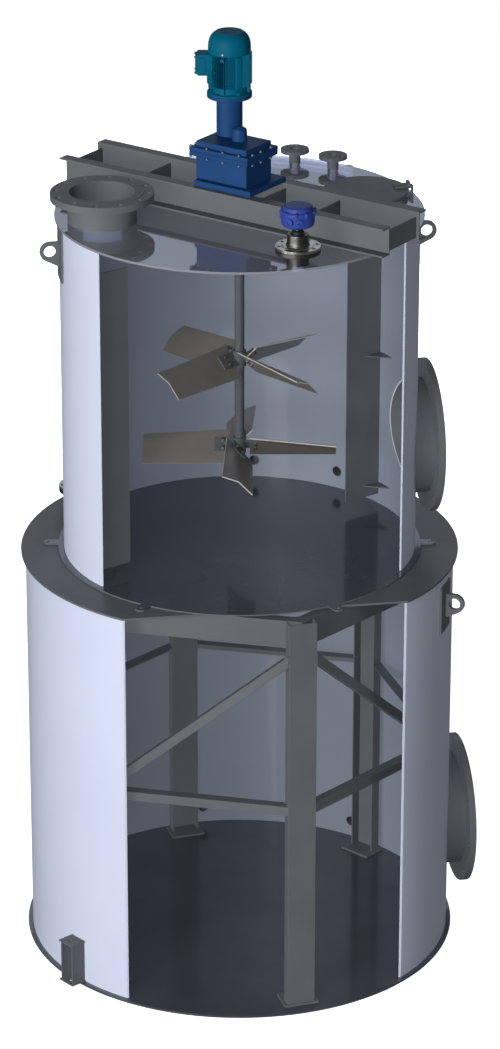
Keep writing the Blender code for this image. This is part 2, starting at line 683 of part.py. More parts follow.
def upper_tank():
    low = FLOOR_TOP + GAP
    high = ROOF_LOW - GAP
    cutter = front_cutter("upper_cut", UPPER_CUT_AZIMUTH, UPPER_CUT_DISTANCE, low - 0.1, high + 0.1)
    holes = [shell_hole("upper_manhole_hole", MANHOLE_AZIMUTH, UPPER_MANHOLE_Z, MANHOLE_NECK_RADIUS,
                        UPPER_RADIUS, NECK_SIDES)]
    nozzles = [
        (f"drain_nozzle_{index}", azimuth, DRAIN_Z) for index, azimuth in enumerate(DRAIN_AZIMUTHS, 1)]
    nozzles.append(("overflow_nozzle", OVERFLOW_AZIMUTH, OVERFLOW_Z))
    for name, azimuth, z in nozzles:
        holes.append(shell_hole(name + "_hole", azimuth, z, PIPE_RADIUS, UPPER_RADIUS, PIPE_SIDES))
        small_nozzle(name, azimuth, z, UPPER_RADIUS)
    shell("upper_shell", UPPER_RADIUS, low, high, cutter, holes)
    flanged_nozzle(
        "upper_manhole", MANHOLE_AZIMUTH, UPPER_MANHOLE_Z, UPPER_MANHOLE_FACE, UPPER_RADIUS,
        MANHOLE_NECK_RADIUS, MANHOLE_NECK_WALL, MANHOLE_FLANGE_RADIUS, MANHOLE_FLANGE_THICKNESS,
        MANHOLE_BOLTING, NECK_SIDES)


def baffles():
    """Radial plates that stop the liquid turning, each with two gussets on one side."""
    outer = UPPER_RADIUS - WALL
    for side, azimuth in BAFFLE_AZIMUTHS:
        name = f"baffle_{side}"
        blade = box(name, (BAFFLE_INNER, -BAFFLE_THICKNESS / 2.0, BAFFLE_LOW),
                    (outer + 0.02, BAFFLE_THICKNESS / 2.0, BAFFLE_HIGH), DARK_PAINT)
        stand(blade, azimuth)
        gussets = []
        for level, z in enumerate(GUSSET_LEVELS):
            outline = ((outer - GUSSET_REACH, 0.0), (outer + 0.01, 0.0), (outer + 0.01, -GUSSET_SPREAD))
            gussets.append(stand(
                plate(f"{name}_gusset_{level}", outline, GUSSET_THICKNESS, None, CUTTERS), azimuth, 0.0, z))
        low, high = BAFFLE_LOW - 0.1, BAFFLE_HIGH + 0.1
        ring = cylinder(name + "_trim", outer - GAP, low, high, SHELL_SIDES, None, CUTTERS)
        join(blade, *gussets)
        combine(blade, [ring], "INTERSECT")


def roof():
    """The clear roof plate with its openings and the nozzles that stand on it."""
    disc = cylinder("roof_plate", ROOF_RADIUS, ROOF_LOW, ROOF_TOP, SHELL_SIDES, ROOF_CLEAR)
    foot = ROOF_TOP + GAP
    below, above = ROOF_LOW - 0.1, ROOF_TOP + 0.1
    openings = [
        ("shaft", (0.0, 0.0), SHAFT_ROOF_HOLE, PIPE_SIDES),
        ("inlet", INLET_PLACE, INLET_PIPE_RADIUS - INLET_PIPE_WALL, NECK_SIDES),
        ("hatch", HATCH_PLACE, HATCH_NECK_RADIUS - HATCH_NECK_WALL, NECK_SIDES),
        ("level", LEVEL_ROOF_PLACE, LEVEL_PIPE_RADIUS - LEVEL_PIPE_WALL, PIPE_SIDES),
    ]
    for index, place in enumerate(VENT_PLACES, 1):
        openings.append((f"vent_{index}", place, PIPE_RADIUS - PIPE_WALL, PIPE_SIDES))
        roof_nozzle(f"vent_nozzle_{index}", place, foot, VENT_TOP, PIPE_RADIUS, PIPE_WALL,
                    SMALL_FLANGE_RADIUS, SMALL_FLANGE_THICKNESS, SMALL_BOLTING, PIPE_SIDES)
    cut(disc, *[
        plate_hole(f"roof_{name}_hole", place, radius, below, above, sides)
        for name, place, radius, sides in openings])
    roof_nozzle("roof_inlet_nozzle", INLET_PLACE, foot, INLET_TOP, INLET_PIPE_RADIUS, INLET_PIPE_WALL,
                INLET_FLANGE_RADIUS, INLET_FLANGE_THICKNESS,
                (INLET_BOLT_CIRCLE, INLET_BOLTS, INLET_BOLT_RADIUS), NECK_SIDES, INLET_TURN)


def hinge_place():
    outwards = polar(HINGE_REACH, HINGE_AZIMUTH)
    return Vector((HATCH_PLACE[0] + outwards.x, HATCH_PLACE[1] + outwards.y, HINGE_Z))


def hatch():
    """A short neck on the roof, its lid, and the hinge between them."""
    foot = ROOF_TOP + GAP
    inner = HATCH_NECK_RADIUS - HATCH_NECK_WALL
    neck = turned("hatch_neck", (
        (inner, HATCH_NECK_TOP), (HATCH_NECK_RADIUS, HATCH_NECK_TOP), (HATCH_NECK_RADIUS, foot),
        (inner, foot),
    ), NECK_SIDES, STEEL_PAINT, closed=True)
    neck.location = (*HATCH_PLACE, 0.0)

    hinge = hinge_place()
    turn = Matrix.Translation(hinge) @ Matrix.Rotation(math.radians(HINGE_AZIMUTH), 4, "Z")
    along = turn @ Matrix.Rotation(math.radians(90.0), 4, "X")
    reach = HINGE_POST_SPREAD + 0.006
    wall_middle = HATCH_NECK_RADIUS - HATCH_NECK_WALL / 2.0
    inside_wall = math.sqrt(wall_middle ** 2 - HINGE_POST_SPREAD ** 2) - HINGE_REACH
    pin = cylinder("hatch_pin", HINGE_PIN_RADIUS, -reach, reach, 16, None, CUTTERS)
    pin.matrix_world = along
    posts = [pin]
    for index, side in enumerate((-1.0, 1.0)):
        post = box(f"hatch_hinge_post_{index}", (-0.007, side * HINGE_POST_SPREAD - 0.004, foot - HINGE_Z),
                   (0.007, side * HINGE_POST_SPREAD + 0.004, 0.0075), None, CUTTERS)
        bracket = box(f"hatch_hinge_bracket_{index}",
                      (inside_wall, side * HINGE_POST_SPREAD - 0.004, foot - HINGE_Z),
                      (0.0, side * HINGE_POST_SPREAD + 0.004, foot - HINGE_Z + 0.012), None, CUTTERS)
        post.matrix_world = turn
        bracket.matrix_world = turn
        posts += [bracket, post]
    join(neck, *posts)

    lid_low = HATCH_NECK_TOP + GAP
    lid = cylinder("hatch_lid", LID_RADIUS, lid_low, lid_low + LID_THICKNESS, 64, STEEL_PAINT)
    lid.location = (*HATCH_PLACE, 0.0)
    parts, bores = [], []
    for index, side in enumerate((-1.0, 1.0)):
        middle = side * HINGE_STRAP_SPREAD
        strap_low = lid_low + LID_THICKNESS - 0.004 - HINGE_Z
        strap = box(f"hatch_strap_{index}", (-0.085, middle - HINGE_STRAP_WIDTH / 2.0, strap_low),
                    (0.0, middle + HINGE_STRAP_WIDTH / 2.0, strap_low + 0.014), None, CUTTERS)
        strap.matrix_world = turn
        barrel = cylinder(f"hatch_barrel_{index}", HINGE_BARREL_RADIUS, -middle - HINGE_STRAP_WIDTH / 2.0,
                          -middle + HINGE_STRAP_WIDTH / 2.0, 16, None, CUTTERS)
        barrel.matrix_world = along
        parts += [strap, barrel]
    bore = cylinder("hatch_barrel_bore", HINGE_BORE_RADIUS, -0.1, 0.1, 16, None, CUTTERS)
    bore.matrix_world = along
    bores.append(bore)
    join(lid, *parts)
    cut(lid, *bores)
    joint = bpy.data.objects.new("hatch_joint", None)
    PARTS.objects.link(joint)
    joint.location = hinge
    bpy.context.view_layer.update()
    lid.parent = joint
    lid.matrix_parent_inverse = joint.matrix_world.inverted()


def level_instrument(name, place, foot):
    """A flanged stub with a collar, and above it the instrument head on a thin neck."""
    inner = LEVEL_PIPE_RADIUS - LEVEL_PIPE_WALL
    stub = turned(name + "_stub", (
        (inner, foot + LEVEL_FLANGE_MIDDLE), (LEVEL_FLANGE_RADIUS, foot + LEVEL_FLANGE_MIDDLE),
        (LEVEL_FLANGE_RADIUS, foot + LEVEL_FLANGE_LOW), (LEVEL_PIPE_RADIUS, foot + LEVEL_FLANGE_LOW),
        (LEVEL_PIPE_RADIUS, foot + GAP), (inner, foot + GAP),
    ), NECK_SIDES, STAINLESS, closed=True)
    low = foot + LEVEL_FLANGE_MIDDLE + GAP
    top = foot + LEVEL_HEAD_TOP
    head = turned(name + "_gauge", (
        (0.0, top), (0.062, top), (0.075, top - 0.014), (LEVEL_HEAD_RADIUS, top - 0.030),
        (LEVEL_HEAD_RADIUS, foot + LEVEL_HEAD_LOW + 0.022),
        (0.080, foot + LEVEL_HEAD_LOW), (LEVEL_NECK_RADIUS, foot + LEVEL_HEAD_LOW),
        (LEVEL_NECK_RADIUS, foot + LEVEL_COLLAR_TOP), (LEVEL_PIPE_RADIUS, foot + LEVEL_COLLAR_TOP),
        (LEVEL_PIPE_RADIUS, foot + LEVEL_FLANGE_HIGH), (LEVEL_FLANGE_RADIUS, foot + LEVEL_FLANGE_HIGH),
        (LEVEL_FLANGE_RADIUS, low), (0.0, low),
    ), NECK_SIDES, HEAD_BLUE)
    stub.location = head.location = (*place, 0.0)


def bridge():
    """Two channels back to back with cross plates between them, welded into one frame."""
    low = ROOF_TOP + GAP
    middle = low + BRIDGE_HEIGHT / 2.0
    outline = channel_outline(0.0, BRIDGE_FLANGE, BRIDGE_HEIGHT / 2.0, BRIDGE_WEB, BRIDGE_FLANGE_THICKNESS)
    along = Matrix.Rotation(math.radians(BRIDGE_AZIMUTH), 4, "Z")
    lie = Matrix(((0.0, 0.0, 1.0, 0.0), (1.0, 0.0, 0.0, 0.0), (0.0, 1.0, 0.0, 0.0), (0.0, 0.0, 0.0, 1.0)))
    half_turn = Matrix.Rotation(math.pi, 4, "Z")
    inside = BRIDGE_WEB_FACE - BRIDGE_WEB
    front = plate("bridge_frame", outline, BRIDGE_LENGTH, STEEL_PAINT)
    front.matrix_world = Matrix.Translation((0.0, 0.0, middle)) @ along @ Matrix.Translation(
        (0.0, -inside, 0.0)) @ lie
    back = plate("bridge_back", outline, BRIDGE_LENGTH, None, CUTTERS)
    back.matrix_world = Matrix.Translation((0.0, 0.0, middle)) @ along @ half_turn @ Matrix.Translation(
        (0.0, -inside, 0.0)) @ lie
    plates = []
    for index, place in enumerate(CROSS_PLATES):
        left, right = place - CROSS_THICKNESS / 2.0, place + CROSS_THICKNESS / 2.0
        cross = box(f"bridge_cross_{index}", (left, -inside - 0.003, low + CROSS_LOW),
                    (right, inside + 0.003, low + CROSS_HIGH), None, CUTTERS)
        cross.matrix_world = along
        plates.append(cross)
    join(front, back, *plates)


def gear_block(name, spans, low, high, material=None, collection=None):
    """A box of the gearbox, given by its spans along the bridge and towards the viewer."""
    (u_low, u_high), (v_low, v_high) = spans[:2]
    block = box(name, (u_low, -v_high, low), (u_high, -v_low, high), material, collection)
    block.rotation_euler = (0.0, 0.0, math.radians(BRIDGE_AZIMUTH))
    return block


def gearbox():
    low = ROOF_TOP + 2.0 * GAP + BRIDGE_HEIGHT
    base_top = low + GEAR_BASE[2]
    split = base_top + GEAR_BOX[2] + GEAR_FLANGE[2]
    housing = gear_block("gearbox_housing", GEAR_BASE, low, base_top, GEAR_BLUE)
    body = gear_block("gearbox_body", GEAR_BOX, base_top - 0.01, split - 0.01, None, CUTTERS)
    rim = gear_block("gearbox_rim", GEAR_FLANGE, split - GEAR_FLANGE[2], split, None, CUTTERS)
    bore_top = low + SHAFT_BORE_DEPTH + 0.002
    bore = cylinder("gearbox_bore", SHAFT_BORE_RADIUS, low - 0.1, bore_top, 32, None, CUTTERS)
    join(housing, body, rim)
    cut(housing, bore)
    cover_low = split + GAP
    rim_top = cover_low + GEAR_FLANGE[2]
    cover_top = rim_top + GEAR_COVER_HEIGHT
    cover = gear_block("gearbox_cover", GEAR_FLANGE, cover_low, rim_top, GEAR_BLUE)
    lid = gear_block("gearbox_lid", GEAR_BOX, rim_top - 0.01, cover_top, None, CUTTERS)
    boss = turned("gearbox_boss", (
        (0.0, cover_top + BOSS_HEIGHT), (0.022, cover_top + BOSS_HEIGHT - 0.004),
        (0.036, cover_top + BOSS_HEIGHT - 0.014), (BOSS_RADIUS, cover_top + BOSS_HEIGHT - 0.028),
        (BOSS_RADIUS, cover_top - 0.01), (0.0, cover_top - 0.01),
    ), PIPE_SIDES, None, CUTTERS)
    join(cover, lid, boss)
    lantern = turned("motor_lantern", (
        (0.0, LANTERN_TOP), (LANTERN_FLANGE_RADIUS, LANTERN_TOP),
        (LANTERN_FLANGE_RADIUS, LANTERN_TOP - LANTERN_FLANGE_THICKNESS),
        (LANTERN_RADIUS, LANTERN_TOP - LANTERN_FLANGE_THICKNESS), (LANTERN_RADIUS, cover_top + GAP),
        (0.0, cover_top + GAP),
    ), NECK_SIDES, GEAR_BLUE)
    motor = turned("motor", MOTOR_PROFILE, NECK_SIDES, MOTOR_BLUE)
    terminal = box("terminal_box", TERMINAL_LOW, TERMINAL_HIGH, None, CUTTERS)
    lantern.location = motor.location = terminal.location = (*LANTERN_PLACE, 0.0)
    join(motor, terminal)


def blade_frame(level, azimuth):
    """The place of a blade or lug plate: X outwards, Y across the pitched plate."""
    turn = Matrix.Rotation(math.radians(azimuth), 4, "Z")
    pitch = Matrix.Rotation(math.radians(-BLADE_PITCH), 4, "X")
    return Matrix.Translation((0.0, 0.0, level)) @ turn @ pitch


def folded_blade(name, level, azimuth):
    """A flat plate folded back along a line from its inner leading corner."""
    shape = bmesh.new()
    length = BLADE_TIP - BLADE_ROOT
    size = Matrix.Diagonal((length / 2.0, BLADE_WIDTH / 2.0, 1.0, 1.0))
    centre = Matrix.Translation(((BLADE_TIP + BLADE_ROOT) / 2.0, 0.0, 0.0))
    bmesh.ops.create_grid(shape, x_segments=1, y_segments=1, size=1.0, matrix=centre @ size)
    corner = Vector((BLADE_ROOT, -BLADE_WIDTH / 2.0, 0.0))
    crease_end = Vector((BLADE_TIP, -BLADE_WIDTH / 2.0 + BLADE_WIDTH * BLADE_FOLD_SHARE, 0.0))
    line = (crease_end - corner).normalized()
    across = Vector((line.y, -line.x, 0.0))
    bmesh.ops.bisect_plane(
        shape, geom=shape.verts[:] + shape.edges[:] + shape.faces[:], plane_co=corner, plane_no=across)
    folded = [vert for vert in shape.verts if (vert.co - corner).dot(across) > 0.0001]
    bmesh.ops.rotate(
        shape, verts=folded, cent=corner, matrix=Matrix.Rotation(math.radians(BLADE_FOLD), 3, line))
    blade = link_mesh(name, shape, BLADE_STEEL)
    blade.matrix_world = blade_frame(level, azimuth)
    solidify = blade.modifiers.new("plate", "SOLIDIFY")
    solidify.thickness = BLADE_THICKNESS
    solidify.offset = 0.0
    return blade


def agitator():
    """The shaft with its coupling, its two hubs and their lug plates, and the blades on them."""
    top = ROOF_TOP + BRIDGE_HEIGHT + SHAFT_BORE_DEPTH
    profile = [
        (0.0, top), (SHAFT_RADIUS, top), (SHAFT_RADIUS, COUPLING_TOP), (COUPLING_RADIUS, COUPLING_TOP),
        (COUPLING_RADIUS, COUPLING_LOW), (SHAFT_RADIUS, COUPLING_LOW),
    ]
    lugs = []
    offset = BLADE_THICKNESS / 2.0 + GAP
    for label, level, start in IMPELLER_LEVELS:
        low = level + HUB_RISE - IMPELLER_HALF_HEIGHT
        high = level + HUB_RISE + IMPELLER_HALF_HEIGHT
        profile += [(SHAFT_RADIUS, high), (HUB_RADIUS, high), (HUB_RADIUS, low), (SHAFT_RADIUS, low)]
        for index in range(BLADE_COUNT):
            azimuth = start + index * 360.0 / BLADE_COUNT
            lug = box(f"{label}_lug_{index}",
                      (LUG_PLATE_ROOT, LUG_PLATE_SHIFT - LUG_PLATE_WIDTH / 2.0, offset),
                      (LUG_PLATE_TIP, LUG_PLATE_SHIFT + LUG_PLATE_WIDTH / 2.0, offset + LUG_PLATE_THICKNESS),
                      None, CUTTERS)
            lug.matrix_world = blade_frame(level, azimuth)
            lugs.append(lug)
            folded_blade(f"{label}_blade_{index + 1}", level, azimuth)
    profile += [(SHAFT_RADIUS, SHAFT_LOW), (0.0, SHAFT_LOW)]
    join(turned("agitator_shaft", profile, 32, STEEL_PAINT), *lugs)


base_plate()
lower_tank()
cover_ring()
frame_columns()
frame_beams()
frame_rails()
frame_braces()
anchor_chairs()
lifting_lugs()
upper_floor()
upper_tank()
baffles()
roof()
hatch()
level_instrument("roof_level", LEVEL_ROOF_PLACE, ROOF_TOP)
ring_place = polar(LEVEL_RING_RADIUS, LEVEL_RING_AZIMUTH)
level_instrument("ring_level", (ring_place.x, ring_place.y), RING_TOP)
bridge()
gearbox()
agitator()
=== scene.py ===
import math

import bpy
from mathutils import Matrix, Vector


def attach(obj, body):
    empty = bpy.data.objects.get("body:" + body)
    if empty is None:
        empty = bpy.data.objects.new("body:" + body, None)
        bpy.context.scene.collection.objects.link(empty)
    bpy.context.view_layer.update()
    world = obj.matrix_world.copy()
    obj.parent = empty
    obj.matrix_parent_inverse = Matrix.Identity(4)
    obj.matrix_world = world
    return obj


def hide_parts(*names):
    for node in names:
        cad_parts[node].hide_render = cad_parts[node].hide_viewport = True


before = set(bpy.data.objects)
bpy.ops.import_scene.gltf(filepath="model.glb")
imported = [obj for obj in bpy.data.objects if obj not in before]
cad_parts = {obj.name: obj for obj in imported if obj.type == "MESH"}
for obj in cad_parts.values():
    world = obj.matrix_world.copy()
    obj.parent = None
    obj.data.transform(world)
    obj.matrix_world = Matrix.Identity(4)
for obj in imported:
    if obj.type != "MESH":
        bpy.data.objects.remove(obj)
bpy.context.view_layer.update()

bpy.ops.object.select_all(action="DESELECT")

# Camera. A long lens looks down a little at the open side of the tanks, as in the photograph.
# The pixel named here is the one on the lens axis, and the shift puts it there.
PHOTO_WIDTH, PHOTO_HEIGHT = 500.0, 1049.0
AXIS_PIXEL = (239.5, 519.73)
CAMERA_PLACE = (0.0, -20.723, 11.027)
CAMERA_TILT = 67.291
SENSOR = 36.0
LENS = 145.63

bpy.ops.object.camera_add(location=CAMERA_PLACE, rotation=(math.radians(CAMERA_TILT), 0.0, 0.0))
camera = bpy.context.active_object
camera.data.sensor_width = SENSOR
camera.data.lens = LENS
camera.data.shift_x = (PHOTO_WIDTH / 2.0 - AXIS_PIXEL[0]) / PHOTO_HEIGHT
camera.data.shift_y = (AXIS_PIXEL[1] - PHOTO_HEIGHT / 2.0) / PHOTO_HEIGHT
camera.data.clip_end = 300.0
bpy.context.scene.camera = camera
bpy.context.scene.view_settings.view_transform = "Standard"


# Studio. A pale floor that glows faintly like a light table, so that the ground stays white.
# A wide soft key stands in front on the left. Most of it throws no shadow, as in the photograph.
# A gloss card on the left shows only as sheen, a card behind shows in the clear roof, low lamps
# light the right side and the back, and a dim sky fills the rest.
FLOOR_SIZE, FLOOR_DROP = 160.0, 0.001
FLOOR_HEX, FLOOR_GLOW = "#F0F1F3", 0.85
WHITE, ROOF_CARD_COLOUR = (1.0, 1.0, 1.0), (0.74, 0.84, 1.0)
LAMPS = (
    # name, azimuth, height, distance, width, power, colour, throws a shadow, lights matt and glossy
    ("key_lamp", -118.0, 12.0, 18.0, 8.0, 1000.0, WHITE, True, True, True),
    ("soft_key_lamp", -118.0, 12.0, 18.0, 8.0, 2300.0, WHITE, False, True, True),
    ("gloss_card", -150.0, 4.0, 13.0, 5.0, 400.0, WHITE, False, False, True),
    ("side_lamp", -20.0, 10.0, 16.0, 5.0, 230.0, WHITE, True, True, False),
    ("roof_card", 90.0, 24.0, 16.0, 9.0, 130.0, ROOF_CARD_COLOUR, True, False, True),
    ("back_lamp", 92.0, 7.0, 14.0, 3.0, 900.0, WHITE, True, True, False),
)
TANK_MIDDLE = 2.4
SKY_HEX, SKY_LOW, SKY_HIGH = "#F1F1F3", 0.11, 0.15


def linear(hex_colour):
    """An sRGB hex value as linear red, green, blue and alpha."""
    parts = [int(hex_colour[index:index + 2], 16) / 255.0 for index in (1, 3, 5)]
    return (*(part / 12.92 if part <= 0.04045 else ((part + 0.055) / 1.055) ** 2.4 for part in parts), 1.0)


def add(tree, kind, inputs=(), **settings):
    """One node with its settings, its plain values and the links into it."""
    node = tree.nodes.new(kind)
    for name, value in settings.items():
        setattr(node, name, value)
    for name, value in dict(inputs).items():
        if isinstance(value, bpy.types.NodeSocket):
            tree.links.new(value, node.inputs[name])
        else:
            node.inputs[name].default_value = value
    return node


def new_finish(name):
    """A material with an empty node tree and its output."""
    material = bpy.data.materials.new(name)
    material.use_nodes = True
    material.node_tree.nodes.clear()
    return material, material.node_tree, add(material.node_tree, "ShaderNodeOutputMaterial")


def around(azimuth, height, distance):
    """A point at an azimuth and height in degrees and a distance from the middle of the tank."""
    turn, rise = math.radians(azimuth), math.radians(height)
    flat = distance * math.cos(rise)
    return Vector((flat * math.cos(turn), flat * math.sin(turn), TANK_MIDDLE + distance * math.sin(rise)))


for name, azimuth, height, distance, width, power, colour, shadow, matt, glossy in LAMPS:
    place = around(azimuth, height, distance)
    facing = (Vector((0.0, 0.0, TANK_MIDDLE)) - place).to_track_quat("-Z", "Y").to_euler()
    bpy.ops.object.light_add(type="AREA", location=place, rotation=facing)
    lamp = bpy.context.active_object
    lamp.name = name
    lamp.data.shape = "DISK"
    lamp.data.size = width
    lamp.data.energy = power
    lamp.data.color = colour
    lamp.data.use_shadow = shadow
    lamp.visible_diffuse = matt
    lamp.visible_glossy = glossy
    lamp.visible_camera = False

bpy.ops.mesh.primitive_plane_add(size=FLOOR_SIZE, location=(0.0, 0.0, -FLOOR_DROP))
studio_floor = bpy.context.active_object
studio_floor.name = "studio_floor"
studio_floor.visible_diffuse = False
studio_floor.visible_glossy = False
floor_finish, tree, end = new_finish("matt studio floor")
place = add(tree, "ShaderNodeTexCoord").outputs["Object"]
drift = add(tree, "ShaderNodeTexNoise", {"Vector": place, "Scale": 0.4, "Detail": 2.0}).outputs["Fac"]
rough = add(tree, "ShaderNodeMapRange", {"Value": drift, "To Min": 0.85, "To Max": 0.95}).outputs["Result"]
skin = add(tree, "ShaderNodeBsdfPrincipled", {
    "Base Color": linear(FLOOR_HEX), "Roughness": rough, "Specular IOR Level": 0.1,
    "Emission Color": (1.0, 1.0, 1.0, 1.0), "Emission Strength": FLOOR_GLOW})
tree.links.new(skin.outputs["BSDF"], end.inputs["Surface"])
studio_floor.data.materials.append(floor_finish)

sky = bpy.data.worlds.new("dim studio sky")
sky.use_nodes = True
tree = sky.node_tree
tree.nodes.clear()
direction = add(tree, "ShaderNodeTexCoord").outputs["Generated"]
upwards = add(tree, "ShaderNodeSeparateXYZ", {"Vector": direction}).outputs["Z"]
glow = add(tree, "ShaderNodeMapRange", {
    "Value": upwards, "From Min": -0.3, "From Max": 0.8, "To Min": SKY_LOW, "To Max": SKY_HIGH})
ground = add(tree, "ShaderNodeBackground", {
    "Color": linear(SKY_HEX), "Strength": glow.outputs["Result"]})
end = add(tree, "ShaderNodeOutputWorld", {"Surface": ground.outputs["Background"]})
bpy.context.scene.world = sky


# Base plate. A 12 mm steel disc that carries everything, coated on top with a hard glossy
# near-black tank coating, in which the walls and the frame are mirrored.
COATING_HEX, COATING_LIGHT_HEX = "#3F434B", "#484C55"
PEEL_MM, PEEL_DEPTH, DRIFT_MM, PATCH_MM = 9.0, 0.0003, 420.0, 95.0
COAT_ROUGHNESS = 0.04
PLATE_EDGE = 0.0015
HOLE_SIDES = 20
DOUBLES, FLAT_WITHIN = 0.00001, math.radians(0.4)
SHARP, NODE_SHARP = math.radians(40.0), math.radians(50.0)


def sprayed(name, hex_colour, light_hex, roughness, peel, coat=0.0, peel_mm=PEEL_MM, drift_mm=DRIFT_MM,
            shine=0.5):
    """Sprayed paint: slow drift in tone, uneven gloss and the orange peel of a spray gun.

    The peel of real paint is 2 to 4 mm wide. It is drawn coarser so that it shows at all.
    """
    material, tree, end = new_finish(name)
    place = add(tree, "ShaderNodeTexCoord").outputs["Object"]
    drift = add(tree, "ShaderNodeTexNoise", {
        "Vector": place, "Scale": 1000.0 / drift_mm, "Detail": 4.0, "Roughness": 0.55}).outputs["Fac"]
    tone = add(tree, "ShaderNodeMapRange", {"Value": drift, "From Min": 0.3, "From Max": 0.7})
    colour = add(tree, "ShaderNodeMix", {
        "Factor": tone.outputs["Result"], 6: linear(hex_colour), 7: linear(light_hex)}, data_type="RGBA")
    patches = add(tree, "ShaderNodeTexNoise", {
        "Vector": place, "Scale": 1000.0 / PATCH_MM, "Detail": 3.0}).outputs["Fac"]
    gloss = add(tree, "ShaderNodeMapRange", {
        "Value": patches, "From Min": 0.3, "From Max": 0.7,
        "To Min": roughness - 0.02, "To Max": roughness + 0.03}).outputs["Result"]
    grain = add(tree, "ShaderNodeTexNoise", {
        "Vector": place, "Scale": 1000.0 / peel_mm, "Detail": 2.0}).outputs["Fac"]
    skin = add(tree, "ShaderNodeBump", {"Strength": peel, "Distance": PEEL_DEPTH, "Height": grain})
    shader = add(tree, "ShaderNodeBsdfPrincipled", {
        "Base Color": colour.outputs[2], "Roughness": gloss, "Normal": skin.outputs["Normal"],
        "Specular IOR Level": shine, "Coat Weight": coat, "Coat Roughness": COAT_ROUGHNESS})
    tree.links.new(shader.outputs["BSDF"], end.inputs["Surface"])
    return material


def activate(piece):
    bpy.ops.object.select_all(action="DESELECT")
    piece.select_set(True)
    bpy.context.view_layer.objects.active = piece


def smooth(piece, angle=SHARP):
    """Round faces shade smooth, and flat faces keep their own direction up to the eased edges."""
    activate(piece)
    bpy.ops.object.shade_smooth_by_angle(angle=angle)
    flat = piece.modifiers.new("even shading", "WEIGHTED_NORMAL")
    flat.keep_sharp = True
    bpy.ops.object.modifier_apply(modifier=flat.name)


def ease(piece, width, steps=2, angle=SHARP):
    """Small rounded edges, as a grinder or a casting mould leaves them."""
    activate(piece)
    edges = piece.modifiers.new("eased edges", "BEVEL")
    edges.width = width
    edges.segments = steps
    edges.limit_method = "ANGLE"
    edges.angle_limit = angle
    bpy.ops.object.modifier_apply(modifier=edges.name)


def fit(piece, body, slot, *nodes):
    """The piece moves with a body and stands for CAD nodes, which are hidden. The slot is not used."""
    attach(piece, body)
    if nodes:
        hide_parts(*nodes)
    return piece


def drilled(piece, radius, depth, places, finish):
    """Cuts round holes, each centred on a place and along its Z axis. Their walls take the given finish, here
    black as painted shade.
    """
    drills = []
    for matrix in places:
        bpy.ops.mesh.primitive_cylinder_add(vertices=HOLE_SIDES, radius=radius, depth=depth)
        drills.append(bpy.context.active_object)
        drills[-1].matrix_world = matrix
        drills[-1].data.materials.append(finish)
    bpy.ops.object.select_all(action="DESELECT")
    for drill in drills:
        drill.select_set(True)
    bpy.ops.object.join()
    cutter = bpy.context.view_layer.objects.active
    activate(piece)
    holes = piece.modifiers.new("drilled holes", "BOOLEAN")
    holes.object = cutter
    holes.operation = "DIFFERENCE"
    holes.material_mode = "TRANSFER"
    bpy.ops.object.modifier_apply(modifier=holes.name)
    bpy.data.objects.remove(cutter, do_unlink=True)


def dressed(node, finishes, body, slot, edge=PLATE_EDGE, steps=2, second=None, holes=None):
    """A merged copy of a CAD node with eased edges, which stands for the node.

    second(face) says which faces take the second finish. holes is the radius, depth, places and
    finish of holes to drill.
    """
    piece = bpy.data.objects.new(node + "_finished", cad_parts[node].data.copy())
    bpy.context.scene.collection.objects.link(piece)
    activate(piece)
    piece.data.materials.clear()
    for finish in finishes:
        piece.data.materials.append(finish)
    bpy.ops.object.mode_set(mode="EDIT")
    bpy.ops.mesh.select_all(action="SELECT")
    bpy.ops.mesh.customdata_custom_splitnormals_clear()
    bpy.ops.mesh.remove_doubles(threshold=DOUBLES)
    bpy.ops.mesh.dissolve_limited(angle_limit=FLAT_WITHIN)
    bpy.ops.object.mode_set(mode="OBJECT")
    for face in piece.data.polygons:
        chosen = second is not None and second(face)
        face.material_index = 1 if chosen else 0
    if holes:
        drilled(piece, *holes)
    if edge:
        ease(piece, edge, steps)
    smooth(piece, NODE_SHARP)
    return fit(piece, body, slot, node)


tank_coating = sprayed("two-pack tank coating", COATING_HEX, COATING_LIGHT_HEX, 0.16, 0.05, 0.35)
dressed("base_plate", [tank_coating], "vessel", "floor_paint")


# Anchor chairs. Small welded stools on the base plate, through which the foundation bolts pass.
# Flame-cut plate with a satin dark grey coat.
STEEL_HEX, STEEL_LIGHT_HEX = "#5F6366", "#676B6E"
satin_steel = sprayed("satin steelwork paint", STEEL_HEX, STEEL_LIGHT_HEX, 0.40, 0.10, shine=0.15)
for index in (1, 2, 3):
    dressed(f"anchor_chair_{index}", [satin_steel], "vessel", "steel_paint", 0.0012)


# Lower shell. An 8 mm sheet rolled to a cylinder, cut open in front. Outside it has a smooth
# semi-gloss pale blue grey enamel. Inside it is a darker copy of the enamel, painted shade, under a
# glossy coat. The cut edges keep the enamel.
SHELL_HEX, SHELL_LIGHT_HEX = "#CDD4E9", "#D2D9ED"
# The inside colour is the enamel darkened as painted shade.
INSIDE_SHADE_HEX, INSIDE_SHADE_LIGHT_HEX = "#7C8392", "#828999"
SHEET_PEEL_MM, SHEET_DRIFT_MM = 11.0, 900.0
SHELL_EDGE = 0.0012
SHELL_INSIDES = {"lower_shell": 1.1264, "upper_shell": 0.9220}


def shaded_inside(radius):
    """Picks the faces of a shell that look inwards."""
    def inside(face):
        flat = Vector((face.center.x, face.center.y))
        return flat.length < radius + 0.002 and flat.normalized().dot(face.normal.to_2d()) < -0.5
    return inside


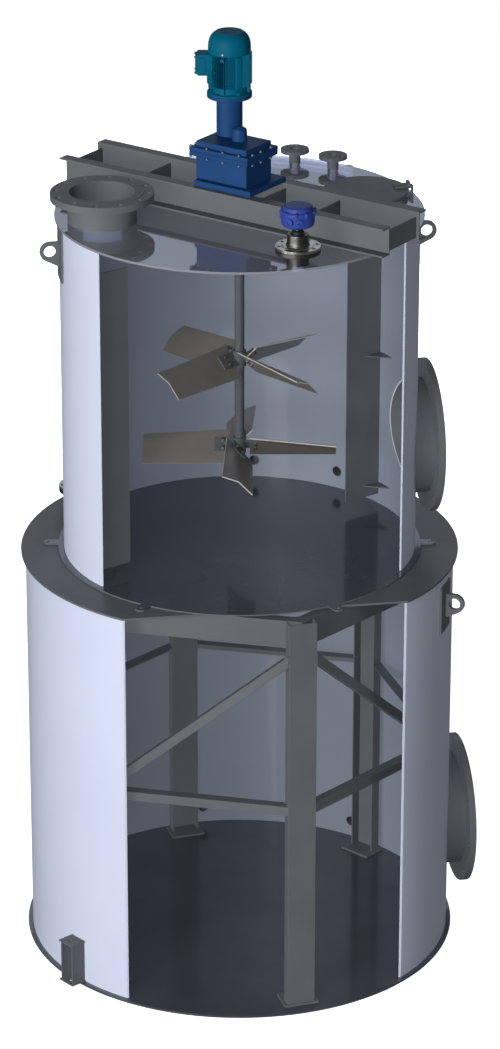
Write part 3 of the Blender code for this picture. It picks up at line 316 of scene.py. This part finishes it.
shell_enamel = sprayed(
    "stoved shell enamel", SHELL_HEX, SHELL_LIGHT_HEX, 0.42, 0.03, 0.0, SHEET_PEEL_MM, SHEET_DRIFT_MM, 0.2)
# The inside of both shells: the enamel's hue made darker as painted shade, with a glossy coat.
shell_inside_shade = sprayed(
    "glazed shell inside with painted shade", INSIDE_SHADE_HEX, INSIDE_SHADE_LIGHT_HEX, 0.50, 0.02, 0.6, SHEET_PEEL_MM, SHEET_DRIFT_MM)
dressed("lower_shell", [shell_enamel, shell_inside_shade], "vessel", "shell_paint", SHELL_EDGE, 2,
        shaded_inside(SHELL_INSIDES["lower_shell"]))


# Flanged nozzles and manholes. Pipe welded into the shell, and a drilled flange on it with a
# turned raised face round the bore. All in the satin grey of the steelwork. Where the manhole necks
# are trimmed flush inside the shell, a pale grey stands on the rim as a painted highlight.
FACE_RISE, FACE_ROOT, FACE_GROOVE, FACE_SIDES = 0.0018, 0.001, 0.0008, 64
NOZZLE_EDGE, MANHOLE_EDGE, MANHOLE_RISE = 0.0012, 0.0020, 0.003
# Pale rim colour: a painted highlight on the trimmed manhole necks.
RIM_HIGHLIGHT_HEX, RIM_HIGHLIGHT_LIGHT_HEX = "#B9BCBF", "#C9CBCE"
SMALL_FACE = (0.0265, 0.046)
MANHOLE_FACE = (0.2955, 0.352)
INLET_FACE = (0.1690, 0.2160)
NOZZLE_PLACES = (
    ("lower_nozzle_1", 100.6, 1.2844, 0.103), ("lower_nozzle_2", 55.8, 1.2844, 0.103),
    ("drain_nozzle_1", 85.0, 1.0800, 2.326), ("drain_nozzle_2", 54.8, 1.0800, 2.326),
    ("overflow_nozzle", 57.0, 1.0800, 3.955),
)
MANHOLE_PLACES = (("lower_manhole", "lower_shell", 10.0, 1.233, 0.559),
                  ("upper_manhole", "upper_shell", 10.0, 1.022, 2.774))


def outwards(azimuth, reach, height):
    """A frame on the tank wall: its Z axis points outwards and its X axis points down."""
    turn = Matrix.Rotation(math.radians(azimuth), 4, "Z")
    return turn @ Matrix.Translation((reach, 0.0, height)) @ Matrix.Rotation(math.radians(90.0), 4, "Y")


def settle(piece, matrix=None):
    """Puts a piece in its place and moves the place into its mesh."""
    if matrix is not None:
        piece.matrix_world = matrix
    activate(piece)
    bpy.ops.object.transform_apply(location=True, rotation=True, scale=True)
    return piece


def turned(name, profile, sides, matrix, finish, edge=0.0, closed=False):
    """A circle drawn up through the (radius, height) points of a profile, as on a lathe.

    Then it is put in its place. A profile that starts or ends on the axis gets a flat end there.
    """
    rings = [(radius, height) for radius, height in profile if radius > 0.0]
    if closed:
        rings.append(rings[0])
    start_radius, level = rings[0]
    bpy.ops.mesh.primitive_circle_add(
        vertices=sides, radius=start_radius, location=(0.0, 0.0, level),
        fill_type="NOTHING" if closed else "NGON")
    piece = bpy.context.active_object
    piece.name = name
    settle(piece)
    bpy.ops.object.mode_set(mode="EDIT")
    bpy.ops.mesh.select_mode(type="EDGE")
    bpy.ops.mesh.select_all(action="SELECT")
    for radius, height in rings[1:]:
        bpy.ops.mesh.extrude_region_move(TRANSFORM_OT_translate={"value": (0.0, 0.0, height - level)})
        bpy.ops.transform.resize(value=(radius / start_radius, radius / start_radius, 1.0),
                                 center_override=(0.0, 0.0, height))
        start_radius, level = radius, height
    bpy.ops.mesh.select_all(action="SELECT")
    bpy.ops.mesh.remove_doubles(threshold=DOUBLES)
    bpy.ops.mesh.normals_make_consistent(inside=False)
    bpy.ops.object.mode_set(mode="OBJECT")
    piece.data.materials.append(finish)
    if edge:
        ease(piece, edge)
    smooth(piece)
    return settle(piece, matrix)


def raised_face(name, span, matrix, finish, rise=FACE_RISE):
    inner, outer = span
    middle = (inner + outer) / 2.0
    groove = (outer - inner) * 0.04
    profile = ((inner, -FACE_ROOT), (inner, rise), (middle - groove, rise), (middle, rise - FACE_GROOVE),
               (middle + groove, rise), (outer - rise, rise), (outer, 0.0), (outer, -FACE_ROOT))
    return turned(name, profile, FACE_SIDES, matrix, finish, 0.0, True)


for name, azimuth, reach, height in NOZZLE_PLACES:
    dressed(name, [satin_steel], "vessel", "steel_paint", NOZZLE_EDGE)
    ring = raised_face(name + "_face", SMALL_FACE, outwards(azimuth, reach, height), satin_steel)
    fit(ring, "vessel", "steel_paint")


def trimmed(radius):
    """Picks the faces where a neck is cut flush with the inside of the shell."""
    return lambda face: face.center.to_2d().length < radius + 0.002


# The trimmed rims are painted pale as a highlight.
painted_rim_highlight = sprayed("trimmed rim with painted highlight", RIM_HIGHLIGHT_HEX, RIM_HIGHLIGHT_LIGHT_HEX, 0.34, 0.10)
for name, shell, azimuth, reach, height in MANHOLE_PLACES:
    dressed(name, [satin_steel, painted_rim_highlight], "vessel", "steel_paint", MANHOLE_EDGE, 2,
            trimmed(SHELL_INSIDES[shell]))
    ring = raised_face(
        name + "_face", MANHOLE_FACE, outwards(azimuth, reach, height), satin_steel, MANHOLE_RISE)
    fit(ring, "vessel", "steel_paint")


# Lifting lugs. Thick plate eyes on curved pads, two on each shell.
for name in ("lower_lug_1", "lower_lug_2", "upper_lug_1", "upper_lug_2"):
    dressed(name, [satin_steel], "vessel", "steel_paint", 0.0018)


# Inner support frame. Six rolled channels with foot plates stand on the base plate and carry a
# ring of channels. Angles run round halfway up, and two angles brace the front column.
for index in range(1, 7):
    dressed(f"frame_column_{index}", [satin_steel], "vessel", "steel_paint", 0.0022)
    dressed(f"frame_rail_{index}", [satin_steel], "vessel", "steel_paint", 0.0015)
dressed("frame_top_beams", [satin_steel], "vessel", "steel_paint", 0.0022)
for side in ("left", "right"):
    dressed(f"frame_brace_{side}", [satin_steel], "vessel", "steel_paint", 0.0015)


# Cover ring. A flat ring that closes the lower tank round the upper one, cut off in front.
dressed("cover_ring", [satin_steel], "vessel", "steel_paint", 0.0018)


# Upper floor. A round plate with six drilled ears, coated on top like the base plate.
# Its rim and ears show the grey steelwork paint.
def topside(face):
    return face.normal.z > 0.9 and face.center.to_2d().length < 0.5


dressed("upper_floor", [satin_steel, tank_coating], "vessel", "floor_paint", 0.0015, 2, topside)


# Upper shell. Rolled and painted like the lower one, with its front cut off along a chord.
# Its inside takes the same painted shade as the lower shell.
dressed("upper_shell", [shell_enamel, shell_inside_shade], "vessel", "shell_paint", SHELL_EDGE, 2,
        shaded_inside(SHELL_INSIDES["upper_shell"]))


# Baffles. Two long plates that keep the liquid from turning, each held by two gussets.
# Satin charcoal paint.
DARK_HEX, DARK_LIGHT_HEX = "#565A5D", "#5D6164"
charcoal = sprayed("satin charcoal paint", DARK_HEX, DARK_LIGHT_HEX, 0.40, 0.08, 0.25, shine=0.15)
for side in ("left", "right"):
    dressed(f"baffle_{side}", [charcoal], "vessel", "dark_paint", 0.0012)


# Roof. A clear cast sheet with a faint violet tint. It mirrors what stands on it and shows the
# shaft and the tank below.
ROOF_TINT_HEX, ROOF_HAZE_HEX = "#DCE0F2", "#EEF0FF"
ROOF_HAZE, HAZE_DRIFT, HAZE_CLOUDS = 0.32, 0.03, 3.0
ROOF_MIRROR, MIRROR_COLOUR = 0.12, (0.9, 0.92, 1.0, 1.0)
CAST_SHEET_IOR = 1.52


def clear_sheet(name):
    material, tree, end = new_finish(name)
    place = add(tree, "ShaderNodeTexCoord").outputs["Object"]
    cloud = add(tree, "ShaderNodeTexNoise", {
        "Vector": place, "Scale": HAZE_CLOUDS, "Detail": 3.0}).outputs["Fac"]
    haze = add(tree, "ShaderNodeMapRange", {
        "Value": cloud, "To Min": ROOF_HAZE - HAZE_DRIFT, "To Max": ROOF_HAZE + HAZE_DRIFT}).outputs["Result"]
    through = add(tree, "ShaderNodeBsdfTransparent", {"Color": linear(ROOF_TINT_HEX)})
    milk = add(tree, "ShaderNodeBsdfDiffuse", {"Color": linear(ROOF_HAZE_HEX)})
    body = add(tree, "ShaderNodeMixShader", {
        0: haze, 1: through.outputs["BSDF"], 2: milk.outputs["BSDF"]})
    mirror = add(tree, "ShaderNodeBsdfGlossy", {"Color": MIRROR_COLOUR, "Roughness": 0.03})
    edge = add(tree, "ShaderNodeFresnel", {"IOR": CAST_SHEET_IOR}).outputs["Fac"]
    shine = add(tree, "ShaderNodeMath", {0: edge, 1: ROOF_MIRROR}, operation="ADD", use_clamp=True)
    surface = add(tree, "ShaderNodeMixShader", {
        0: shine.outputs["Value"], 1: body.outputs["Shader"], 2: mirror.outputs["BSDF"]})
    tree.links.new(surface.outputs["Shader"], end.inputs["Surface"])
    return material


roof_sheet = clear_sheet("clear cast sheet")
dressed("roof_plate", [roof_sheet], "vessel", "clear_roof", 0.0015)


# Roof nozzles. The wide inlet and two vents stand on the sheet, built like the wall nozzles.
ROOF_NOZZLES = (
    ("roof_inlet_nozzle", (-0.700, -0.160), 4.232, INLET_FACE),
    ("vent_nozzle_1", (0.294, 0.816), 4.150, SMALL_FACE),
    ("vent_nozzle_2", (0.494, 0.708), 4.150, SMALL_FACE),
)
for name, (x, y), top, span in ROOF_NOZZLES:
    dressed(name, [satin_steel], "vessel", "steel_paint", 0.0015)
    ring = raised_face(name + "_face", span, Matrix.Translation((x, y, top)), satin_steel)
    fit(ring, "vessel", "steel_paint")


# Hatch. A short neck with a flat lid, hinged at the outer side with two straps on one pin.
dressed("hatch_neck", [satin_steel], "vessel", "steel_paint", 0.0008)
dressed("hatch_lid", [satin_steel], "lid", "steel_paint", 0.0012)


# Level gauges. A stub with two drilled flanges, the upper one turned stainless with a satin collar
# darkened as painted shade, a black gland, and a moulded blue head with round cable entries and a
# scalloped, screwed cover.
GAUGE_PLACES = (("roof_level", (0.289, -0.820), 4.075), ("ring_level", (-0.8653, 0.5947), 2.222))
FLANGE_HOLES, FLANGE_HOLE_CIRCLE, FLANGE_HOLE_RADIUS = 8, 0.0952, 0.0085
STAINLESS_HEX, STAINLESS_DARK_HEX = "#C9C6BE", "#A9A69E"
# The collar tone is darkened as painted shade; its satin finish is real.
COLLAR_SHADE_HEX, COLLAR_SHADE_DARK_HEX = "#6E6D6A", "#5C5B59"
GLAND_HEX, GLAND_LIGHT_HEX = "#15161A", "#1E1F24"
HEAD_HEX, HEAD_LIGHT_HEX = "#2C3F90", "#32469A"
COLLAR_FOOT = 0.1005
LATHE_MM, STAIN_SCALE = 2.6, 28.0


def lathed(name, hex_colour, dark_hex, roughness):
    """Turned stainless steel: bright, with fine rings from the lathe round the piece.

    Real feed marks are 0.2 mm apart. They are drawn wider so that they show.
    """
    material, tree, end = new_finish(name)
    place = add(tree, "ShaderNodeTexCoord").outputs["Object"]
    rings = add(tree, "ShaderNodeTexWave", {
        "Vector": place, "Scale": 1000.0 / LATHE_MM / 6.3, "Distortion": 0.6, "Detail": 2.0},
        wave_type="BANDS", bands_direction="Z").outputs["Fac"]
    stains = add(tree, "ShaderNodeTexNoise", {
        "Vector": place, "Scale": STAIN_SCALE, "Detail": 3.0}).outputs["Fac"]
    colour = add(tree, "ShaderNodeMix", {
        "Factor": stains, 6: linear(hex_colour), 7: linear(dark_hex)}, data_type="RGBA")
    gloss = add(tree, "ShaderNodeMapRange", {
        "Value": stains, "To Min": roughness - 0.06, "To Max": roughness + 0.06}).outputs["Result"]
    marks = add(tree, "ShaderNodeBump", {"Strength": 0.08, "Distance": 0.0002, "Height": rings})
    shader = add(tree, "ShaderNodeBsdfPrincipled", {
        "Base Color": colour.outputs[2], "Metallic": 1.0, "Roughness": gloss,
        "Normal": marks.outputs["Normal"]})
    tree.links.new(shader.outputs["BSDF"], end.inputs["Surface"])
    return material


def joined(name, pieces):
    """Several meshes made one piece."""
    bpy.ops.object.select_all(action="DESELECT")
    for piece in pieces:
        piece.select_set(True)
    bpy.context.view_layer.objects.active = pieces[0]
    if len(pieces) > 1:
        bpy.ops.object.join()
    whole = bpy.context.view_layer.objects.active
    whole.name = name
    return whole


def copied(piece, matrix):
    """A copy of a piece with its own mesh, moved by a matrix."""
    twin = piece.copy()
    twin.data = piece.data.copy()
    bpy.context.scene.collection.objects.link(twin)
    return settle(twin, matrix)


def hex_heads(name, across, height, places, finish, washer=1.0):
    """One hexagon head on its washer, copied to every place with its axis along the place's Z."""
    bpy.ops.mesh.primitive_cylinder_add(vertices=6, radius=across / 1.732, depth=height,
                                        location=(0.0, 0.0, height / 2.0 + 0.0015))
    head = bpy.context.active_object
    bpy.ops.object.mode_set(mode="EDIT")
    bpy.ops.mesh.select_all(action="DESELECT")
    bpy.ops.object.mode_set(mode="OBJECT")
    for face in head.data.polygons:
        face.select = face.normal.z > 0.9
    bpy.ops.object.mode_set(mode="EDIT")
    bpy.ops.mesh.inset(thickness=across * 0.08)
    bpy.ops.transform.translate(value=(0.0, 0.0, height * 0.12))
    bpy.ops.object.mode_set(mode="OBJECT")
    head.data.materials.append(finish)
    settle(head)
    bpy.ops.mesh.primitive_cylinder_add(vertices=16, radius=across * 0.72 * washer, depth=0.002,
                                        location=(0.0, 0.0, 0.0010))
    plate = bpy.context.active_object
    plate.data.materials.append(finish)
    ease(plate, 0.0005, 1)
    settle(plate)
    bolt = joined(name + "_model", [head, plate])
    smooth(bolt)
    copies = [copied(bolt, matrix) for matrix in places]
    bpy.data.objects.remove(bolt, do_unlink=True)
    return joined(name, copies)


turned_steel = lathed("turned stainless steel", STAINLESS_HEX, STAINLESS_DARK_HEX, 0.28)
collar_steel_with_shade = lathed("satin stainless collar with painted shade", COLLAR_SHADE_HEX, COLLAR_SHADE_DARK_HEX, 0.36)
# The black gland finish also darkens the walls of drilled holes, as painted shade.
gland_black_and_hole_shade = sprayed("black moulded gland and painted hole shade", GLAND_HEX, GLAND_LIGHT_HEX, 0.35, 0.05)
head_plastic = sprayed("matt blue moulding", HEAD_HEX, HEAD_LIGHT_HEX, 0.45, 0.12, 0.0, 5.0, 160.0, 0.2)

GAUGE_FLANGE = ((0.0, 0.0785), (0.1050, 0.0785), (0.1050, 0.0815), (0.1143, 0.0815), (0.1143, 0.096),
                (0.080, 0.096), (0.078, 0.099), (0.060, 0.099), (0.0590, 0.104), (0.0560, 0.108),
                (0.0545, 0.128), (0.0545, 0.152), (0.0520, 0.157), (0.0400, 0.157), (0.0385, 0.150),
                (0.0, 0.150))
GAUGE_GLAND = ((0.0, 0.149), (0.0380, 0.149), (0.0380, 0.159), (0.031, 0.161), (0.031, 0.170),
               (0.024, 0.175), (0.0205, 0.180), (0.0205, 0.194), (0.030, 0.198), (0.030, 0.202), (0.0, 0.202))
GAUGE_CUP = ((0.0, 0.198), (0.066, 0.198), (0.078, 0.205), (0.082, 0.214), (0.0850, 0.248),
             (0.0870, 0.262), (0.0, 0.262))
GAUGE_COVER = ((0.0, 0.2625), (0.0880, 0.2625), (0.0890, 0.266), (0.0890, 0.275), (0.0850, 0.280),
               (0.0760, 0.284), (0.0740, 0.296), (0.0700, 0.303), (0.0600, 0.306), (0.0, 0.306))
KNOBS, KNOB_START, KNOB_CIRCLE, KNOB_RADIUS, KNOB_LOW, KNOB_TOP = 10, 12.0, 0.0835, 0.0105, 0.260, 0.284
HOLE_START = 10.0
ENTRY = ((0.0, 0.070), (0.0175, 0.070), (0.0175, 0.0955), (0.0150, 0.0975), (0.0100, 0.0975),
         (0.0085, 0.0900), (0.0, 0.0900))
ENTRY_PLACES = ((-118.0, 0.238), (-84.0, 0.238), (150.0, 0.240), (62.0, 0.238))
for label, (x, y), foot in GAUGE_PLACES:
    here = Matrix.Translation((x, y, foot))
    # The stub takes the collar's darker tone, painted shade.
    dressed(label + "_stub", [collar_steel_with_shade], "vessel", "stainless", 0.0012)
    flange = turned(label + "_flange", GAUGE_FLANGE, 64, here, turned_steel, 0.0008)
    # The flange holes get black walls: painted shade.
    drilled(flange, FLANGE_HOLE_RADIUS, 0.030, [
        here @ Matrix.Rotation(math.radians(index * 360.0 / FLANGE_HOLES + HOLE_START), 4, "Z")
        @ Matrix.Translation((FLANGE_HOLE_CIRCLE, 0.0, 0.100)) for index in range(FLANGE_HOLES)], gland_black_and_hole_shade)
    # Faces above the flange plate take the collar tone darkened as painted shade.
    flange.data.materials.append(collar_steel_with_shade)
    for face in flange.data.polygons:
        if face.center.z > foot + COLLAR_FOOT:
            face.material_index = len(flange.data.materials) - 1
    smooth(flange)
    gland = turned(label + "_gland", GAUGE_GLAND, 32, here, gland_black_and_hole_shade, 0.0006)
    cup = turned(label + "_cup", GAUGE_CUP, 64, here, head_plastic, 0.0012)
    cover = turned(label + "_cover", GAUGE_COVER, 64, here, head_plastic, 0.0010)
    knobs = []
    for index in range(KNOBS):
        angle = math.radians(index * 360.0 / KNOBS + KNOB_START)
        bpy.ops.mesh.primitive_cylinder_add(
            vertices=20, radius=KNOB_RADIUS, depth=KNOB_TOP - KNOB_LOW,
            location=(KNOB_CIRCLE * math.cos(angle), KNOB_CIRCLE * math.sin(angle),
                      (KNOB_LOW + KNOB_TOP) / 2.0))
        knob = bpy.context.active_object
        knob.data.materials.append(head_plastic)
        ease(knob, 0.002)
        smooth(knob)
        settle(knob)
        knobs.append(settle(knob, here))
    cover = joined(label + "_cover", [cover, *knobs])
    entries = [
        turned(label + "_entry", ENTRY, 24, here @ outwards(angle, 0.0, height), head_plastic, 0.0006)
        for angle, height in ENTRY_PLACES]
    cup = joined(label + "_cup", [cup, *entries])
    screws = [here @ Matrix.Rotation(math.radians(index * 360.0 / KNOBS + KNOB_START), 4, "Z")
              @ Matrix.Translation((KNOB_CIRCLE, 0.0, KNOB_TOP)) for index in range(KNOBS)]
    screws = hex_heads(label + "_screws", 0.008, 0.004, screws, gland_black_and_hole_shade, 0.9)
    fit(flange, "vessel", "stainless", label + "_gauge")
    fit(gland, "vessel", "head_blue")
    fit(cup, "vessel", "head_blue")
    fit(cover, "vessel", "head_blue")
    fit(screws, "vessel", "stainless")


# Bridge. Two rolled channels back to back over the roof with plates welded between them.
# It carries the geared motor.
dressed("bridge_frame", [satin_steel], "vessel", "steel_paint", 0.0022)


# Gearbox. A cast housing and cover with rounded edges, split at a bolted flange, in satin blue
# enamel. Zinc-plated hexagon heads sit above and below the flange, and the foot is drilled.
GEAR_HEX, GEAR_LIGHT_HEX = "#183F70", "#1B4578"
ZINC_HEX, ZINC_DARK_HEX = "#A9A69C", "#7E7B72"
FOOT_TOP, FOOT_HOLE_RADIUS, FOOT_HOLE_DEPTH = 4.2556, 0.0075, 0.040
BRIDGE_TURN = Matrix.Rotation(math.radians(-35.2), 4, "Z")
FLANGE_TOP, FLANGE_FOOT = 4.4249, 4.3786
FRONT_ROW = [(-0.1985 + 0.0998 * index, -0.1500) for index in range(4)]
BACK_ROW = [(-0.1985 + 0.0998 * index, 0.1120) for index in range(4)]
SIDE_ROWS = [(end, -place) for end in (-0.2000, 0.1520) for place in (0.102, 0.030, -0.060)]

cast_enamel = sprayed(
    "blue enamel on cast iron", GEAR_HEX, GEAR_LIGHT_HEX, 0.48, 0.22, 0.0, 7.0, 150.0, 0.10)
zinc = lathed("zinc-plated bolts", ZINC_HEX, ZINC_DARK_HEX, 0.36)
FOOT_PLACES = [(u, -n) for u in (-0.145, 0.165) for n in (-0.131, 0.150)]
foot_holes = [BRIDGE_TURN @ Matrix.Translation((u, v, FOOT_TOP)) for u, v in FOOT_PLACES]
# The foot holes get black walls: painted shade.
dressed("gearbox_housing", [cast_enamel], "vessel", "gear_blue", 0.0022, 3,
        holes=(FOOT_HOLE_RADIUS, FOOT_HOLE_DEPTH, foot_holes, gland_black_and_hole_shade))
dressed("gearbox_cover", [cast_enamel], "vessel", "gear_blue", 0.0022, 3)
rows = FRONT_ROW + BACK_ROW + SIDE_ROWS
above = [BRIDGE_TURN @ Matrix.Translation((u, v, FLANGE_TOP)) for u, v in rows]
below = [BRIDGE_TURN @ Matrix.Translation((u, v, FLANGE_FOOT)) @ Matrix.Rotation(math.pi, 4, "X")
         for u, v in rows]
fit(hex_heads("gearbox_bolts", 0.014, 0.007, above + below, zinc), "vessel", "stainless")


# Motor pedestal. A turned blue tube on the gearbox cover, with a flange that carries the motor.
MOTOR_AXIS = Matrix.Translation((-0.051, 0.106, 0.0))
dressed("motor_lantern", [cast_enamel], "vessel", "gear_blue", 0.0025, 3)


# Motor. A cast teal body with cooling fins in groups between plain panels, a drawn fan cover,
# an end bell with four bolt bosses, a terminal box with a screwed lid and a lifting eye.
MOTOR_HEX, MOTOR_LIGHT_HEX = "#015973", "#02617C"
FIN_LOW, FIN_HIGH, FIN_ROOT, FIN_TIP, FIN_THICKNESS = 4.716, 4.893, 0.0960, 0.1155, 0.0030
FINS, PANEL_CLEAR = 72, 11.0
PANELS = (-64.0, 26.0, 116.0, 206.0)
teal_enamel = sprayed(
    "teal enamel on cast iron", MOTOR_HEX, MOTOR_LIGHT_HEX, 0.50, 0.14, 0.0, 6.0, 140.0, 0.06)

BELL = ((0.0, 4.6745), (0.1155, 4.6745), (0.1155, 4.682), (0.1120, 4.686), (0.0985, 4.690), (0.0975, 4.722),
        (0.1010, 4.728), (0.1010, 4.734), (0.0975, 4.738), (0.0975, 4.890), (0.0, 4.890))
COVER = ((0.0, 4.8900), (0.1085, 4.8900), (0.1095, 4.8930), (0.1095, 4.9200), (0.1080, 4.9420),
         (0.1030, 4.9620), (0.0950, 4.9780), (0.0840, 4.9900), (0.0720, 4.9975), (0.0700, 5.0000),
         (0.0560, 5.0000), (0.0550, 4.9992), (0.0300, 4.9992), (0.0290, 5.0000), (0.0, 5.0000))
body_parts = [turned("motor_bell", BELL, 64, MOTOR_AXIS, teal_enamel, 0.0010),
              turned("motor_fan_cover", COVER, 64, MOTOR_AXIS, teal_enamel, 0.0)]

bpy.ops.mesh.primitive_cube_add(
    size=1.0, location=((FIN_ROOT + FIN_TIP) / 2.0, 0.0, (FIN_LOW + FIN_HIGH) / 2.0),
    scale=(FIN_TIP - FIN_ROOT, FIN_THICKNESS, FIN_HIGH - FIN_LOW))
fin = bpy.context.active_object
fin.data.materials.append(teal_enamel)
settle(fin)
for vert in fin.data.vertices:
    if vert.co.x > FIN_TIP - 0.001:
        vert.co.y *= 0.6
        vert.co.z += 0.014 if vert.co.z < 4.8 else -0.003
ease(fin, 0.0007, 1)
smooth(fin)
fins = []
for index in range(FINS):
    azimuth = index * 360.0 / FINS
    near_panel = min(abs((azimuth - panel + 180.0) % 360.0 - 180.0) for panel in PANELS)
    if near_panel > PANEL_CLEAR:
        turn = Matrix.Rotation(math.radians(azimuth), 4, "Z")
        fins.append(copied(fin, MOTOR_AXIS @ turn))
bpy.data.objects.remove(fin, do_unlink=True)

for azimuth in PANELS:
    turn = MOTOR_AXIS @ Matrix.Rotation(math.radians(azimuth), 4, "Z")
    bpy.ops.mesh.primitive_cube_add(size=1.0, location=(0.1030, 0.0, 4.805), scale=(0.021, 0.036, 0.168))
    panel = bpy.context.active_object
    panel.data.materials.append(teal_enamel)
    settle(panel)
    ease(panel, 0.006, 3)
    smooth(panel)
    fins.append(settle(panel, turn))
    for height, reach, tall in ((4.7065, 0.103, 0.036), (4.872, 0.1045, 0.022)):
        boss_turn = MOTOR_AXIS @ Matrix.Rotation(math.radians(azimuth + 45.0), 4, "Z")
        bpy.ops.mesh.primitive_cube_add(size=1.0, location=(reach, 0.0, height), scale=(0.019, 0.022, tall))
        boss = bpy.context.active_object
        boss.data.materials.append(teal_enamel)
        settle(boss)
        ease(boss, 0.004, 3)
        smooth(boss)
        fins.append(settle(boss, boss_turn))
    lug_turn = MOTOR_AXIS @ Matrix.Rotation(math.radians(azimuth), 4, "Z")
    bpy.ops.mesh.primitive_cube_add(size=1.0, location=(0.102, 0.0, 4.694), scale=(0.016, 0.018, 0.022))
    lug = bpy.context.active_object
    lug.data.materials.append(teal_enamel)
    settle(lug)
    ease(lug, 0.003, 3)
    smooth(lug)
    fins.append(settle(lug, lug_turn))

for low, high, edge in (((-0.166, -0.047, 4.775), (-0.094, 0.047, 4.890), 0.010),
                        ((-0.175, -0.043, 4.784), (-0.163, 0.043, 4.881), 0.004),
                        ((-0.158, -0.050, 4.790), (-0.122, -0.044, 4.870), 0.0028)):
    size = [top - bottom for bottom, top in zip(low, high)]
    middle = [(top + bottom) / 2.0 for bottom, top in zip(low, high)]
    bpy.ops.mesh.primitive_cube_add(size=1.0, location=middle, scale=size)
    box = bpy.context.active_object
    box.data.materials.append(teal_enamel)
    settle(box)
    ease(box, edge, 4)
    smooth(box)
    fins.append(settle(box, MOTOR_AXIS))

EYE_TURN = MOTOR_AXIS @ Matrix.Rotation(math.radians(-130.0), 4, "Z")
bpy.ops.mesh.primitive_torus_add(major_segments=32, minor_segments=12, major_radius=0.0150,
                                 minor_radius=0.0042, location=(0.1340, 0.0, 4.807),
                                 rotation=(math.radians(90.0), 0.0, 0.0))
eye = bpy.context.active_object
eye.data.materials.append(teal_enamel)
settle(eye)
bpy.ops.mesh.primitive_cylinder_add(vertices=20, radius=0.0065, depth=0.016, location=(0.1120, 0.0, 4.807),
                                    rotation=(0.0, math.radians(90.0), 0.0))
stem = bpy.context.active_object
stem.data.materials.append(teal_enamel)
settle(stem)
for piece in (eye, stem):
    smooth(piece)
    fins.append(settle(piece, EYE_TURN))
motor_body = joined("motor_body", body_parts + fins)
fit(motor_body, "vessel", "motor_blue", "motor")

cover_screws = [MOTOR_AXIS @ outwards(azimuth + 45.0, 0.1090, 4.902) for azimuth in PANELS]
lid_screws = [MOTOR_AXIS @ outwards(180.0, 0.175, 4.8325) @ Matrix.Translation((x, y, 0.0))
              for x in (-0.041, 0.041) for y in (-0.035, 0.035)]
fit(hex_heads("motor_screws", 0.008, 0.003, cover_screws + lid_screws, zinc), "vessel", "stainless")


# Agitator. A turned shaft with a bolted coupling and two hubs. Four plates on each hub carry
# folded blades of mill-finish sheet with ground edges, each held by two bolts and nuts.
LEVELS = (("upper", 3.259, 45.0), ("lower", 2.773, 0.0))
BLADE_PITCH = 46.0
BLADE_SPOTS = ((0.085, -0.034), (0.085, 0.010))
BLADE_HALF, PLATE_TOP = 0.003, 0.0133
SHAFT_HEX, SHAFT_LIGHT_HEX = "#4E5254", "#565A5C"
SHEET_HEX, SHEET_LIGHT_HEX = "#817D77", "#8B867F"
GROUND_HEX, GROUND_LIGHT_HEX = "#C9C4BC", "#E2DED8"
ROLL_MM, STREAK_STRETCH, CLOUD_SCALE = 3.0, 14.0, 9.0
RIM_AREA = 0.004


def rolled(name, hex_colour, light_hex, roughness):
    """Mill-finish sheet: long faint rolling streaks, clouded gloss."""
    material, tree, end = new_finish(name)
    place = add(tree, "ShaderNodeTexCoord").outputs["Object"]
    stretched = add(tree, "ShaderNodeMapping", {
        "Vector": place, "Scale": (1.0, 1.0, STREAK_STRETCH)}).outputs["Vector"]
    streaks = add(tree, "ShaderNodeTexNoise", {
        "Vector": stretched, "Scale": 1000.0 / ROLL_MM / STREAK_STRETCH, "Detail": 3.0}).outputs["Fac"]
    clouds = add(tree, "ShaderNodeTexNoise", {
        "Vector": place, "Scale": CLOUD_SCALE, "Detail": 3.0}).outputs["Fac"]
    colour = add(tree, "ShaderNodeMix", {
        "Factor": clouds, 6: linear(hex_colour), 7: linear(light_hex)}, data_type="RGBA")
    gloss = add(tree, "ShaderNodeMapRange", {
        "Value": streaks, "To Min": roughness - 0.06, "To Max": roughness + 0.08}).outputs["Result"]
    marks = add(tree, "ShaderNodeBump", {"Strength": 0.06, "Distance": 0.0002, "Height": streaks})
    shader = add(tree, "ShaderNodeBsdfPrincipled", {
        "Base Color": colour.outputs[2], "Metallic": 0.4, "Roughness": gloss,
        "Normal": marks.outputs["Normal"]})
    tree.links.new(shader.outputs["BSDF"], end.inputs["Surface"])
    return material


def rim(face):
    return face.area < RIM_AREA


mill_sheet = rolled("mill-finish blade sheet", SHEET_HEX, SHEET_LIGHT_HEX, 0.30)
ground_edge = rolled("ground sheet edge", GROUND_HEX, GROUND_LIGHT_HEX, 0.34)
shaft_steel = sprayed("dark satin shaft paint", SHAFT_HEX, SHAFT_LIGHT_HEX, 0.36, 0.08, shine=0.25)
dressed("agitator_shaft", [shaft_steel], "agitator", "steel_paint", 0.0015)
for label, level, start in LEVELS:
    spots = []
    for index in range(4):
        dressed(f"{label}_blade_{index + 1}", [mill_sheet, ground_edge], "agitator", "blade_steel",
                0.0006, 1, rim)
        pitched = (Matrix.Translation((0.0, 0.0, level))
                   @ Matrix.Rotation(math.radians(start + 90.0 * index), 4, "Z")
                   @ Matrix.Rotation(math.radians(-BLADE_PITCH), 4, "X"))
        for x, y in BLADE_SPOTS:
            spots.append(pitched @ Matrix.Translation((x, y, PLATE_TOP)))
            spots.append(pitched @ Matrix.Translation((x, y, -BLADE_HALF)) @ Matrix.Rotation(math.pi, 4, "X"))
    fit(hex_heads(label + "_blade_bolts", 0.017, 0.009, spots, zinc), "agitator", "stainless")
